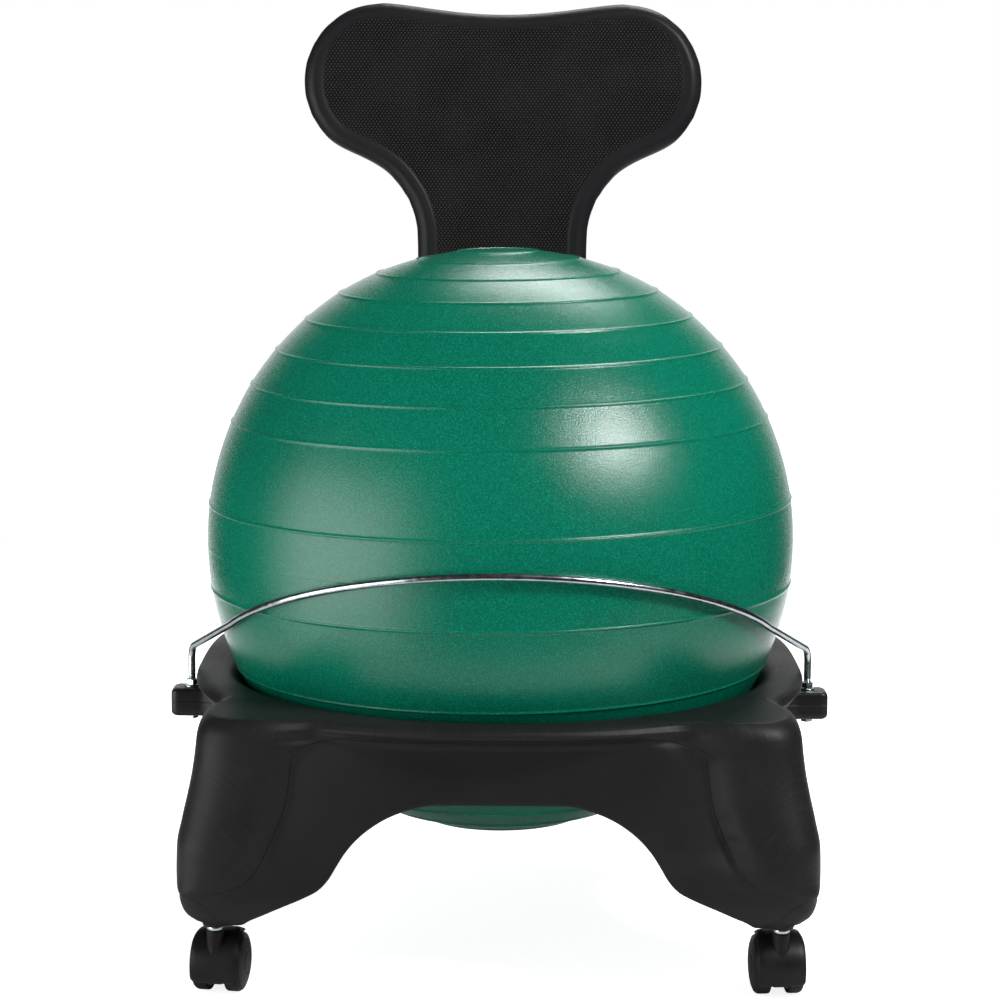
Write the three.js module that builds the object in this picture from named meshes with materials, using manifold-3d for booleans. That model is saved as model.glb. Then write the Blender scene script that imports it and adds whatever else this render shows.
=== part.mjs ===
// Balance ball chair: an inflated ball in a blow-moulded base on four twin-wheel casters,
// with a T-shaped backrest and a steel retaining bar across the front of the ball.
// Millimetres, +Z up, the sitter faces -Y. The origin stands on the floor, midway in plan.

import * as THREE from 'three';
import { mergeVertices } from 'three/addons/utils/BufferGeometryUtils.js';
import Module from 'manifold-3d';

const wasm = await Module();
wasm.setup();

// Driving dimensions: ball
const ballRadius = 260;
const ballWall = 2;
const ballAboveLegs = 27;
const ballLean = THREE.MathUtils.degToRad(0.8);
const ridgeAngle = THREE.MathUtils.degToRad(8.2);
const ridgeHeight = 0.9;
const ridgeHalfWidth = 2;
const valveHoleRadius = 4;
const plugCapRadius = 7;
const plugCapThickness = 2;
const plugShankLength = 14;

// Driving dimensions: base
const rimAboveSeat = 42.5;
const rimBeyondBall = 10;
const rimEdgeRadius = 6;
const archBelowRim = 69;
const archFlatHalfWidth = 54;
const archFootInset = 56;
const stemInset = 36;
const socketHoleDepth = 42;
const footBossBorder = 1.9;
const footBossRise = 14;

// Driving dimensions: ears and retaining bar
const earBeyondRim = 23;
const earHeight = 25;
const earBelowRim = 22;
const earWidth = 29;
const earEdgeRadius = 6;
const barRadius = 3.2;
const barFootInset = 17.5;
const barFootY = -8;
const barFrontAboveCentre = 10.5;
const barDrop = 127;
const barBendAboveEar = 36;
const barBendRadius = 11;
const barStandOff = 1.6;
const nutAcrossFlats = 10;
const nutHeight = 5;
const jamNutHeight = 3.4;
const washerRadius = 6.6;
const washerThickness = 1.2;
const barEndBelowNut = 0.8;

// Driving dimensions: backrest
const backrestAboveRim = 590;
const backrestHalfWidth = 193;
const backrestNeckHalfWidth = 82;
const backrestThickness = 26;
const backrestLean = 30;
const backrestDip = 12;
const backrestBorder = 19;
const backrestFieldDepth = 1.2;
const backrestSeatDepth = 8;
const backrestSeatBelowRim = 63;
const boltRadius = 4;
const boltHeadAcrossFlats = 13;
const boltHeadHeight = 5.3;
const boltSpacing = 90;
const boltAboveSeat = 27;
const boltEngagement = 20;
const insertRadius = 6.5;
const insertLength = 24;
const boltWasherRadius = 9;
const boltWasherThickness = 1.6;
const padBorder = 12;
const padEdgeRadius = 8;

// Driving dimensions: casters
const wheelRadius = 25;
const wheelWidth = 15.2;
const wheelWebGap = 0.6;
const webHalfWidth = 7;
const casterTrail = 18;
const axleRadius = 3;
const axleGrip = 10.4;
const barrelRadius = 7;
const barrelAboveHood = 3.4;
const webBeyondWheel = 2;
const webBottomHeight = 9.4;
const hoodThickness = 2.4;
const hoodInset = 1.3;
const hoodEdgeTaper = 2;
const hoodWheelGap = 1.4;
const stemRadius = 4;
const stemBelowCollar = 26;
const stemAboveLeg = 30;
const stemGripBulge = 1;
const stemGripLength = 5;
const collarRadius = 6.9;
const collarHeight = 3.1;
const socketWall = 1.5;
const socketFlangeBorder = 1.8;
const socketFlangeThickness = 0.8;
const leverHubRadius = 3.6;
const leverPinRadius = 1.6;
const leverStandOff = 4.6;
const leverPedalLength = 20;
const leverPedalHalfWidth = 14;
const leverThickness = 3;
const leverHubHalfWidth = 7;
const lugThickness = 3;

// Fits
const gap = 0.3;
const seatClearance = 0.62;
const overrun = 5;
const facetTolerance = 0.05;

// Angles at rest, in degrees, of each caster about its stem
const casterTurns = { front_left: 10, front_right: -5, rear_left: 24, rear_right: -31 };

// Facet counts
const ballSides = 24;
const ballInnerSteps = 8;
const ringSides = 48;
const legSides = 16;
const webSides = 24;
const arcSegments = 8;
const edgeSegments = 4;
const boreSides = 12;
const wheelSides = 16;
const barSides = 8;
const barBendSteps = 4;
const barArcSteps = 14;

// Heights stack up from the wheels: the hood over them, the barrel, the collar and the flange of
// the socket under the leg, and then the ball, whose seat carries the rim.
const hoodInner = wheelRadius + hoodWheelGap;
const hoodOuter = hoodInner + hoodThickness;
const barrelTopHeight = wheelRadius + hoodOuter + barrelAboveHood;
const collarBottom = barrelTopHeight + gap;
const collarTop = collarBottom + collarHeight;
const socketFlangeBottom = collarTop + gap;
const socketFlangeTop = socketFlangeBottom + socketFlangeThickness;
const legBottomHeight = socketFlangeTop + gap;
const ballCentreHeight = legBottomHeight + ballAboveLegs + ballRadius;

// The seat is a cone that touches the ball midway between two ridges, over a straight throat.
const seatLatitudeShare = 4.5;
const seatLatitude = seatLatitudeShare * ridgeAngle;
const seatRadius = (ballRadius + seatClearance) * Math.cos(seatLatitude);
const seatHeight = ballCentreHeight - (ballRadius + seatClearance) * Math.sin(seatLatitude);
const rimHeight = seatHeight + rimAboveSeat;
const ringTop = rimHeight - legBottomHeight;
const archTopHeight = rimHeight - archBelowRim;
const earTopHeight = rimHeight - earBelowRim;
const backrestSeatHeight = rimHeight - backrestSeatBelowRim;
const backrestHeight = rimHeight + backrestAboveRim;

// Widths follow the rim, which stands a little beyond the ball
const rimHalfWidth = ballRadius + rimBeyondBall;
const archFootHalfWidth = rimHalfWidth - archFootInset;
const legStemOffset = rimHalfWidth - stemInset;
const earReach = rimHalfWidth + earBeyondRim;
const barFootX = earReach - barFootInset;
const stemGripRadius = stemRadius + stemGripBulge;
const socketRadius = stemGripRadius + gap + socketWall;
const socketFlangeRadius = socketRadius + socketFlangeBorder;
const footBossRadius = socketFlangeRadius + footBossBorder;

// Materials, with the colours of the photographed chair
const plastic = (name, colour, roughness) =>
	new THREE.MeshStandardMaterial({ name, color: colour, roughness, metalness: 0 });
const steel = (name, colour, roughness) =>
	new THREE.MeshStandardMaterial({ name, color: colour, roughness, metalness: 1 });
const materials = {
	ball: plastic('green_vinyl', 0x007d5f, 0.42),
	plug: plastic('white_plug', 0xe6e6e0, 0.5),
	base: plastic('black_blow_moulded', 0x2b2b2d, 0.5),
	back: plastic('black_backrest', 0x222224, 0.55),
	nylon: plastic('black_nylon', 0x1b1b1c, 0.4),
	tread: plastic('dark_tread', 0x232324, 0.6),
	zinc: steel('zinc_plated_steel', 0xc4ccd2, 0.25),
	brass: steel('brass', 0xb8974a, 0.35),
};

// A closed solid from a geometry whose faces share their corners.
function toSolid(geometry) {
	const bare = geometry.clone();
	bare.deleteAttribute('normal');
	bare.deleteAttribute('uv');
	const merged = mergeVertices(bare);
	return new wasm.Manifold(new wasm.Mesh({
		numProp: 3,
		vertProperties: Float32Array.from(merged.attributes.position.array),
		triVerts: Uint32Array.from(merged.index.array),
	}));
}

function toGeometry(solid) {
	const mesh = solid.getMesh();
	const geometry = new THREE.BufferGeometry();
	geometry.setAttribute('position', new THREE.BufferAttribute(mesh.vertProperties, 3));
	geometry.setIndex(new THREE.BufferAttribute(mesh.triVerts, 1));
	geometry.computeVertexNormals();
	return geometry;
}

// A solid through closed sections of equal point counts, anticlockwise from above, upwards.
function loft(sections) {
	const count = sections[0].length;
	const corners = sections.flat();
	const faces = [];
	for (let level = 0; level < sections.length - 1; level += 1) {
		for (let side = 0; side < count; side += 1) {
			const a = level * count + side;
			const b = level * count + (side + 1) % count;
			faces.push(a, b, b + count, a, b + count, a + count);
		}
	}
	const top = (sections.length - 1) * count;
	const middle = (section) =>
		section.reduce((sum, point) => sum.add(point), new THREE.Vector3()).divideScalar(count);
	corners.push(middle(sections[0]), middle(sections.at(-1)));
	for (let side = 0; side < count; side += 1) {
		const next = (side + 1) % count;
		faces.push(corners.length - 2, next, side);
		faces.push(corners.length - 1, top + side, top + next);
	}
	const geometry = new THREE.BufferGeometry().setFromPoints(corners);
	geometry.setIndex(faces);
	geometry.computeVertexNormals();
	return geometry;
}

// A rounded square |x|^power + |y|^power = half^power round a centre, at one height.
function roundedSquare(centreX, centreY, half, power, height, count) {
	return Array.from({ length: count }, (_, index) => {
		const angle = index / count * Math.PI * 2;
		const along = (value) => Math.sign(value) * Math.abs(value) ** (2 / power);
		return new THREE.Vector3(
			centreX + half * along(Math.cos(angle)),
			centreY + half * along(Math.sin(angle)),
			height,
		);
	});
}

// A turned solid about Z, its profile given as [radius, height] from the lower end to the upper.
function turned(profile, sides) {
	const points = profile.map(([radius, height]) => new THREE.Vector2(radius, height));
	return new THREE.LatheGeometry(points, sides).rotateX(Math.PI / 2);
}

function cylinder(radius, bottom, top, sides) {
	return turned([[0, bottom], [radius, bottom], [radius, top], [0, top]], sides);
}

// A tube or ring about Z: its closed profile runs up the outside and down the bore.
function ring(outer, bore, bottom, top, sides) {
	return turned([[bore, bottom], [outer, bottom], [outer, top], [bore, top], [bore, bottom]], sides);
}

function shapeOf(points) {
	return new THREE.Shape(points.map(([x, y]) => new THREE.Vector2(x, y)));
}

function prism(shape, depth, curveSegments) {
	return new THREE.ExtrudeGeometry(shape, { depth, bevelEnabled: false, curveSegments });
}

// Turns a prism drawn in X and Y, extruded along Z, into one drawn in X and Z, centred on Y.
function standing(geometry, depth) {
	return geometry.translate(0, 0, -depth / 2).rotateX(Math.PI / 2);
}

// Turns a prism drawn in X and Y into one drawn in Y and Z, centred on X.
function sideways(geometry, depth) {
	return geometry.translate(0, 0, -depth / 2).rotateX(Math.PI / 2).rotateZ(Math.PI / 2);
}

function hexagon(acrossFlats) {
	const corner = acrossFlats / Math.sqrt(3);
	return shapeOf(Array.from({ length: 6 }, (_, index) => {
		const angle = index / 6 * Math.PI * 2;
		return [corner * Math.cos(angle), corner * Math.sin(angle)];
	}));
}

function circle(radius) {
	return new THREE.Path().absarc(0, 0, radius, 0, Math.PI * 2, true);
}

function nutGeometry(acrossFlats, height, bore) {
	const outline = hexagon(acrossFlats);
	outline.holes.push(circle(bore));
	return prism(outline, height, boreSides);
}

const chair = new THREE.Group();

function add(name, geometry, material, parent = chair) {
	const mesh = new THREE.Mesh(geometry, material);
	mesh.name = name;
	parent.add(mesh);
	return mesh;
}

// Ball: a thin vinyl shell of revolution with a valve hole at its lower pole. Raised ridges lie
// every step of latitude from the pole down to the third, and again at the first, both sides of
// the plain band at the middle.
const ridgeSteps = [-10, -9, -8, -7, -6, -5, -4, -3, -1, 1, 3, 4, 5, 6, 7, 8, 9, 10];
const plainSteps = [-2, 0, 2];

function ballProfile() {
	const at = (latitude, radius) => [radius * Math.cos(latitude), radius * Math.sin(latitude)];
	const ridgeSpread = ridgeHalfWidth / ballRadius;
	const holeLatitude = -Math.acos(valveHoleRadius / ballRadius);
	const points = [at(holeLatitude, ballRadius)];
	const steps = [...ridgeSteps, ...plainSteps].sort((a, b) => a - b);
	for (const step of steps) {
		const latitude = step * ridgeAngle;
		if (plainSteps.includes(step)) {
			points.push(at(latitude, ballRadius));
		} else {
			points.push(at(latitude - ridgeSpread, ballRadius));
			points.push(at(latitude, ballRadius + ridgeHeight));
			points.push(at(latitude + ridgeSpread, ballRadius));
		}
	}
	points.push([0, ballRadius]);
	const innerRadius = ballRadius - ballWall;
	const innerHole = -Math.acos(valveHoleRadius / innerRadius);
	const inner = Array.from({ length: ballInnerSteps + 1 }, (_, index) =>
		at(THREE.MathUtils.lerp(innerHole, Math.PI / 2, index / ballInnerSteps), innerRadius));
	inner[ballInnerSteps] = [0, innerRadius];
	return [...inner.reverse(), ...points];
}

const ballGroup = new THREE.Group();
ballGroup.position.set(0, 0, ballCentreHeight);
ballGroup.rotation.y = -ballLean;
chair.add(ballGroup);
add('ball', turned(ballProfile(), ballSides), materials.ball, ballGroup);

// Air plug: a flat cap under the pole with a tapered shank up through the valve hole.
const plugCapTop = -Math.sqrt(ballRadius ** 2 - plugCapRadius ** 2) - ridgeHeight;
const plugShankRadius = valveHoleRadius - gap;
const plugTipShare = 0.8;
const plugProfile = [
	[0, plugCapTop - plugCapThickness],
	[plugCapRadius, plugCapTop - plugCapThickness],
	[plugCapRadius, plugCapTop],
	[plugShankRadius, plugCapTop],
	[plugShankRadius * plugTipShare, plugCapTop + plugShankLength],
	[0, plugCapTop + plugShankLength],
];
add('ball_plug', turned(plugProfile, boreSides), materials.plug, ballGroup);

// Base. The wall is a loft of rounded squares from the round seat ring down to the squarer foot:
// [height share from foot to rim, half width as a share of the rim's, power].
const wallShares = [
	[0, 0.885, 14],
	[0.012, 0.918, 14],
	[0.035, 0.942, 14],
	[0.081, 0.966, 14],
	[0.156, 0.978, 13],
	[0.260, 0.966, 9.5],
	[0.400, 0.942, 6.6],
	[0.580, 0.925, 5.5],
	[0.780, 0.915, 5],
	[0.885, 0.920, 4.4],
	[0.908, 0.936, 3.8],
	[0.936, 0.974, 3.1],
	[0.960, 1, 2.7],
	[0.978, 0.995, 2.6],
	[0.992, 0.978, 2.5],
	[1, 0.955, 2.5],
];

// Each leg is a raised shield on the corner of the wall, flared out to the belly of the leg:
// [height share, outer face, inner face], faces as shares of the rim's half width.
const legShares = [
	[0.165, 0.960, 0.885],
	[0.190, 0.980, 0.815],
	[0.225, 0.983, 0.735],
	[0.277, 0.983, 0.705],
	[0.387, 0.982, 0.688],
	[0.509, 0.968, 0.653],
	[0.618, 0.953, 0.625],
	[0.740, 0.938, 0.610],
	[0.905, 0.926, 0.600],
	[0.938, 0.918, 0.614],
	[0.964, 0.890, 0.660],
];
const legPower = 2.6;

function wallSolid() {
	return toSolid(loft(wallShares.map(([height, half, power]) => roundedSquare(
		0, 0, half * rimHalfWidth, power, legBottomHeight + height * ringTop, ringSides,
	))));
}

// A flat boss round each caster socket carries the flange where the foot curves up.
function footBossSolid(signX, signY) {
	const boss = cylinder(footBossRadius, legBottomHeight, legBottomHeight + footBossRise, boreSides);
	return toSolid(boss.translate(signX * legStemOffset, signY * legStemOffset, 0));
}

function legSolid(signX, signY) {
	return toSolid(loft(legShares.map(([height, outer, inner]) => {
		const centre = (outer + inner) / 2 * rimHalfWidth;
		const half = (outer - inner) / 2 * rimHalfWidth;
		const level = legBottomHeight + height * ringTop;
		return roundedSquare(signX * centre, signY * centre, half, legPower, level, legSides);
	})));
}

// The arch between two legs, seen from the front: a flat top, round shoulders and a slanted web
// that runs down to the foot. Points are [half width, height] as shares of the arch's spread
// from its flat top to the foot, and of its rise above the foot.
const archShares = [
	[0.075, 0.983],
	[0.150, 0.950],
	[0.225, 0.904],
	[0.306, 0.832],
	[0.384, 0.736],
	[0.448, 0.625],
	[0.489, 0.529],
	[0.530, 0.428],
	[0.581, 0.346],
	[0.658, 0.284],
	[0.762, 0.212],
	[0.859, 0.139],
	[0.931, 0.080],
	[1, 0],
];

function archSolid() {
	const rise = archTopHeight - legBottomHeight;
	const spread = archFootHalfWidth - archFlatHalfWidth;
	const half = archShares.map(([across, up]) => [
		archFlatHalfWidth + across * spread,
		legBottomHeight + up * rise,
	]);
	const floor = [archFootHalfWidth, legBottomHeight - overrun];
	const right = [[archFlatHalfWidth, archTopHeight], ...half, floor];
	const left = right.map(([x, y]) => [-x, y]).reverse();
	const depth = 2 * (rimHalfWidth + overrun);
	return toSolid(standing(prism(shapeOf([...left, ...right].reverse()), depth), depth));
}

// Below the seat's cone the throat is straight.
const seatDepthShare = 0.066;
const throatRadius = seatRadius - ballRadius * seatDepthShare;

function seatRadiusAt(height) {
	return seatRadius + (height - seatHeight) * Math.tan(seatLatitude);
}

// The edge between the seat and the flat rim, as shares of its radius: [outwards, down].
const rimEdgeShares = [[0.8, 0.35], [1.8, 0]];

function seatSolid() {
	const throatTop = seatHeight - (seatRadius - throatRadius) / Math.tan(seatLatitude);
	const edgeStart = rimHeight - rimEdgeRadius;
	const edgeRadius = seatRadiusAt(edgeStart);
	const profile = [
		[0, legBottomHeight - overrun],
		[throatRadius, legBottomHeight - overrun],
		[throatRadius, throatTop],
		[edgeRadius, edgeStart],
		...rimEdgeShares.map(([out, down]) => [
			edgeRadius + rimEdgeRadius * out,
			rimHeight - rimEdgeRadius * down,
		]),
		[edgeRadius + rimEdgeRadius * rimEdgeShares.at(-1)[0], rimHeight + overrun],
		[0, rimHeight + overrun],
	];
	return toSolid(turned(profile, ringSides));
}

// An ear stands out of each side under the rim and carries one end of the retaining bar.
const earRoot = rimHalfWidth - earWidth;
const earBottomHeight = earTopHeight - earHeight;

function earSolid(side) {
	const half = earHeight / 2;
	const outline = new THREE.Shape();
	outline.moveTo(earRoot, -half);
	outline.lineTo(earReach - earEdgeRadius, -half);
	outline.absarc(earReach - earEdgeRadius, -half + earEdgeRadius, earEdgeRadius, -Math.PI / 2, 0);
	outline.absarc(earReach - earEdgeRadius, half - earEdgeRadius, earEdgeRadius, 0, Math.PI / 2);
	outline.lineTo(earRoot, half);
	const geometry = standing(prism(outline, earWidth, edgeSegments), earWidth);
	if (side < 0) {
		geometry.rotateZ(Math.PI);
		geometry.translate(0, 2 * barFootY, 0);
	}
	return toSolid(geometry.translate(0, barFootY * side, earBottomHeight + half));
}

const barHoleRadius = barRadius + gap;
const nutReliefRadius = washerRadius + gap;

// A pad on the back of the base, from the arch up to the rim, has a shallow seat for the tongue of
// the backrest and holds the threaded inserts of its bolts.
const tongueFrontY = rimHalfWidth - backrestSeatDepth;
const boltHeight = backrestSeatHeight + boltAboveSeat;

function rearPadSolid() {
	const half = backrestNeckHalfWidth + padBorder;
	const rise = (rimHeight - archTopHeight) / 2;
	const outline = new THREE.Shape();
	outline.moveTo(-half, rise);
	outline.lineTo(-half, padEdgeRadius - rise);
	outline.absarc(padEdgeRadius - half, padEdgeRadius - rise, padEdgeRadius, Math.PI, Math.PI * 1.5);
	outline.lineTo(half - padEdgeRadius, -rise);
	outline.absarc(half - padEdgeRadius, padEdgeRadius - rise, padEdgeRadius, -Math.PI / 2, 0);
	outline.lineTo(half, rise);
	const depth = insertLength + backrestSeatDepth + padEdgeRadius;
	const geometry = standing(prism(outline, depth, edgeSegments), depth);
	return toSolid(geometry.translate(0, rimHalfWidth - depth / 2, archTopHeight + rise));
}

function rearSeatSolid() {
	const halfWidth = backrestNeckHalfWidth + gap;
	const depth = 2 * backrestThickness;
	const height = rimHeight + overrun - backrestSeatHeight;
	const box = new THREE.BoxGeometry(2 * halfWidth, depth, height);
	return toSolid(box.translate(0, tongueFrontY + depth / 2, backrestSeatHeight + height / 2));
}

function insertHoleSolid(side) {
	const hole = cylinder(insertRadius + gap, -insertLength - gap, overrun, boreSides);
	hole.rotateX(-Math.PI / 2);
	return toSolid(hole.translate(side * boltSpacing / 2, tongueFrontY, boltHeight));
}

const casterPlaces = [
	['front_left', -1, -1],
	['front_right', 1, -1],
	['rear_left', -1, 1],
	['rear_right', 1, 1],
];

function baseGeometry() {
	let solid = wallSolid();
	for (const [, signX, signY] of casterPlaces) {
		solid = solid.add(legSolid(signX, signY)).add(footBossSolid(signX, signY));
	}
	for (const side of [-1, 1]) {
		solid = solid.add(earSolid(side));
	}
	solid = solid.add(rearPadSolid());
	const arch = archSolid();
	solid = solid.subtract(arch);
	solid = solid.subtract(arch.rotate([0, 0, 90]));
	solid = solid.subtract(seatSolid());
	solid = solid.subtract(rearSeatSolid());
	for (const side of [-1, 1]) {
		const bore = cylinder(barHoleRadius, earBottomHeight - overrun, earTopHeight + overrun, boreSides);
		solid = solid.subtract(toSolid(bore.translate(side * barFootX, barFootY, 0)));
		const relief = cylinder(nutReliefRadius, earTopHeight, rimHeight + overrun, boreSides);
		solid = solid.subtract(toSolid(relief.translate(side * barFootX, barFootY, 0)));
		solid = solid.subtract(insertHoleSolid(side));
	}
	for (const [, signX, signY] of casterPlaces) {
		const hole = cylinder(
			socketRadius + gap, legBottomHeight - overrun, legBottomHeight + socketHoleDepth, boreSides,
		);
		solid = solid.subtract(toSolid(hole.translate(signX * legStemOffset, signY * legStemOffset, 0)));
	}
	return toGeometry(solid.simplify(facetTolerance));
}

add('base', baseGeometry(), materials.base);

// Retaining bar: threaded feet rise through the ears, bend inwards and run as straight tangents
// to an arc that hugs the front of the ball.
const barDistance = ballRadius + ridgeHeight + barRadius + barStandOff;
const barArcEnd = THREE.MathUtils.degToRad(62);
const jamNutTop = earBottomHeight - gap;
const barBottom = jamNutTop - jamNutHeight - barEndBelowNut;

function barArcPoint(angle) {
	const rise = barFrontAboveCentre - barDrop * (1 - Math.cos(angle));
	const planRadius = Math.sqrt(barDistance ** 2 - rise ** 2);
	return new THREE.Vector3(
		planRadius * Math.sin(angle),
		-planRadius * Math.cos(angle),
		ballCentreHeight + rise,
	);
}

// Points from the foot on the right, over the front, to the foot on the left.
function barStations() {
	const foot = new THREE.Vector3(barFootX, barFootY, barBottom);
	const corner = new THREE.Vector3(barFootX, barFootY, earTopHeight + barBendAboveEar);
	const arcEnd = barArcPoint(barArcEnd);
	const away = arcEnd.clone().sub(corner).normalize();
	const bend = new THREE.QuadraticBezierCurve3(
		corner.clone().add(new THREE.Vector3(0, 0, -barBendRadius)),
		corner,
		corner.clone().addScaledVector(away, barBendRadius),
	);
	const half = [foot, ...bend.getPoints(barBendSteps)];
	for (let step = 0; step <= barArcSteps; step += 1) {
		half.push(barArcPoint(barArcEnd * (1 - step / barArcSteps)));
	}
	const mirrored = half.slice(0, -1).reverse().map((point) =>
		new THREE.Vector3(-point.x, point.y, point.z));
	return [...half, ...mirrored];
}

// A curve that passes through its stations at equal steps of its parameter.
class StationCurve extends THREE.Curve {
	constructor(stations) {
		super();
		this.stations = stations;
	}

	getPoint(t, target = new THREE.Vector3()) {
		const place = t * (this.stations.length - 1);
		const index = Math.min(Math.floor(place), this.stations.length - 2);
		return target.lerpVectors(this.stations[index], this.stations[index + 1], place - index);
	}

	getUtoTmapping(u) {
		return u;
	}
}

function swept(stations, radius, sides) {
	const corners = Array.from({ length: sides }, (_, index) => {
		const angle = index / sides * Math.PI * 2;
		return [radius * Math.cos(angle), radius * Math.sin(angle)];
	});
	return new THREE.ExtrudeGeometry(shapeOf(corners), {
		steps: stations.length - 1,
		extrudePath: new StationCurve(stations),
		bevelEnabled: false,
	});
}

add('retaining_bar', swept(barStations(), barRadius, barSides), materials.zinc);

const sides = [['left', -1], ['right', 1]];
for (const [name, side] of sides) {
	const washerBottom = earTopHeight + gap;
	const nutBottom = washerBottom + washerThickness + gap;
	const washer = ring(washerRadius, barHoleRadius, 0, washerThickness, boreSides);
	const topNut = nutGeometry(nutAcrossFlats, nutHeight, barHoleRadius);
	const jamNut = nutGeometry(nutAcrossFlats, jamNutHeight, barHoleRadius);
	const place = [side * barFootX, barFootY];
	add(`bar_washer_${name}`, washer, materials.zinc).position.set(...place, washerBottom);
	add(`bar_top_nut_${name}`, topNut, materials.zinc).position.set(...place, nutBottom);
	add(`bar_lower_nut_${name}`, jamNut, materials.zinc).position.set(...place, jamNutTop - jamNutHeight);
}

// Backrest: a loft of flat rounded sections from the tongue up the neck to the two lobes. Rows are
// [height share, half width share between neck and lobes].
const backShares = [
	[0, 0],
	[0.25, 0],
	[0.50, 0],
	[0.622, 0.01],
	[0.660, 0.035],
	[0.695, 0.085],
	[0.725, 0.165],
	[0.747, 0.275],
	[0.764, 0.42],
	[0.777, 0.58],
	[0.790, 0.735],
	[0.806, 0.845],
	[0.828, 0.94],
	[0.855, 0.99],
	[0.884, 1],
	[0.910, 0.975],
	[0.936, 0.905],
	[0.956, 0.81],
	[0.973, 0.695],
	[0.986, 0.56],
	[0.995, 0.40],
	[1, 0.22],
];
const backTopThicknessShares = [
	[0.973, 1],
	[0.986, 0.86],
	[0.995, 0.62],
	[1, 0.30],
];
const lobeStartShare = 0.75;
const leanStartShare = 0.3;
const fieldShares = [0.05, 0.965];
const peakShare = 0.3;
const curvePower = 1.5;
const edgeAngles = [60, 30, 0, -30, -60];
const backBottomHeight = backrestSeatHeight + gap;
const backRise = backrestHeight - backBottomHeight;
const backPeakX = THREE.MathUtils.lerp(backrestNeckHalfWidth, backrestHalfWidth, peakShare);

function beyondShare(share, start) {
	return THREE.MathUtils.clamp((share - start) / (1 - start), 0, 1);
}

function backThicknessAt(share) {
	const row = backTopThicknessShares.find(([height]) => height === share);
	return backrestThickness * (row ? row[1] : 1);
}

// One section, anticlockwise from above: the front with its sunk field, then round the back. The
// whole section leans back in a smooth curve above the ball's middle.
function backSection([share, widthShare]) {
	const half = THREE.MathUtils.lerp(backrestNeckHalfWidth, backrestHalfWidth, widthShare);
	const thickness = backThicknessAt(share);
	const radius = thickness / 2;
	const lean = backrestLean * beyondShare(share, leanStartShare) ** curvePower;
	const front = tongueFrontY + gap + lean + (backrestThickness - thickness) / 2;
	const inField = share > fieldShares[0] && share < fieldShares[1];
	const sunk = front + (inField ? backrestFieldDepth : 0);
	const field = half - backrestBorder;
	const flat = half - radius;
	const edge = edgeAngles.map((degrees) => {
		const angle = THREE.MathUtils.degToRad(degrees);
		return [flat + radius * Math.cos(angle), front + radius - radius * Math.sin(angle)];
	});
	const rightHalf = [
		[field - backrestFieldDepth, sunk],
		[field, front],
		[flat, front],
		...edge,
		[flat, front + thickness],
		[flat / 2, front + thickness],
	];
	const leftHalf = rightHalf.map(([x, y]) => [-x, y]).reverse();
	const middleFront = [[-field / 2, sunk], [0, sunk], [field / 2, sunk]];
	const level = backBottomHeight + share * backRise;
	const dip = backrestDip * beyondShare(share, lobeStartShare);
	return [...middleFront, ...rightHalf, [0, front + thickness], ...leftHalf].map(([x, y]) => {
		const inward = Math.max(0, 1 - (x / backPeakX) ** 2);
		return new THREE.Vector3(x, y, level - dip * inward ** curvePower);
	});
}

function backrestGeometry() {
	let solid = toSolid(loft(backShares.map(backSection)));
	for (const side of [-1, 1]) {
		const hole = cylinder(boltRadius + gap, -overrun, backrestThickness + overrun, boreSides);
		hole.rotateX(-Math.PI / 2);
		hole.translate(side * boltSpacing / 2, tongueFrontY, boltHeight);
		solid = solid.subtract(toSolid(hole));
	}
	return toGeometry(solid);
}

add('backrest', backrestGeometry(), materials.back);

// Backrest bolts: hexagon heads and washers behind the tongue, shanks forward into brass inserts.
for (const [name, side] of sides) {
	const place = [side * boltSpacing / 2, tongueFrontY, boltHeight];
	const washerFront = backrestThickness + 2 * gap;
	const headFront = washerFront + boltWasherThickness + gap;
	const head = prism(hexagon(boltHeadAcrossFlats), boltHeadHeight).translate(0, 0, headFront);
	const shank = cylinder(boltRadius, -boltEngagement, headFront + boltHeadHeight / 2, boreSides);
	const bolt = toGeometry(toSolid(head).add(toSolid(shank))).rotateX(-Math.PI / 2);
	const washer = ring(boltWasherRadius, boltRadius + gap, 0, boltWasherThickness, boreSides);
	washer.translate(0, 0, washerFront).rotateX(-Math.PI / 2);
	const insert = ring(insertRadius, boltRadius + gap, -insertLength, 0, boreSides).rotateX(-Math.PI / 2);
	add(`backrest_bolt_${name}`, bolt, materials.zinc).position.set(...place);
	add(`backrest_washer_${name}`, washer, materials.zinc).position.set(...place);
	add(`backrest_insert_${name}`, insert, materials.brass).position.set(...place);
}

// Casters. Each stands on its stem axis, its wheels trailing along +Y before it is turned.
const wheelInner = webHalfWidth + wheelWebGap;
const wheelOuter = wheelInner + wheelWidth;
const axleHalfLength = wheelInner + axleGrip;
const hoodHalfWidth = wheelOuter - hoodInset;
const webRadius = wheelRadius + webBeyondWheel;

// Wheel: a domed disc with a blind bore, one flat of its tread turned down to the floor. The
// outside is given as [radius share, width share] from the inner face to the crown of the dome.
const wheelShares = [
	[0.97, 0],
	[1, 0.06],
	[1, 0.58],
	[0.93, 0.76],
	[0.75, 0.92],
	[0, 1],
];

function wheelGeometry(side) {
	const corner = wheelRadius / Math.cos(Math.PI / wheelSides);
	const bore = axleRadius + gap;
	const blind = axleHalfLength + gap;
	const profile = [
		[0, blind],
		[bore, blind],
		[bore, wheelInner],
		...wheelShares.map(([radius, width]) => [corner * radius, wheelInner + wheelWidth * width]),
	];
	const geometry = turned(profile, wheelSides).rotateZ(Math.PI / wheelSides);
	return geometry.rotateY(side * Math.PI / 2).translate(0, casterTrail, wheelRadius);
}

const hoodFrontAngle = THREE.MathUtils.degToRad(172);
const hoodRearAngle = THREE.MathUtils.degToRad(30);

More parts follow.
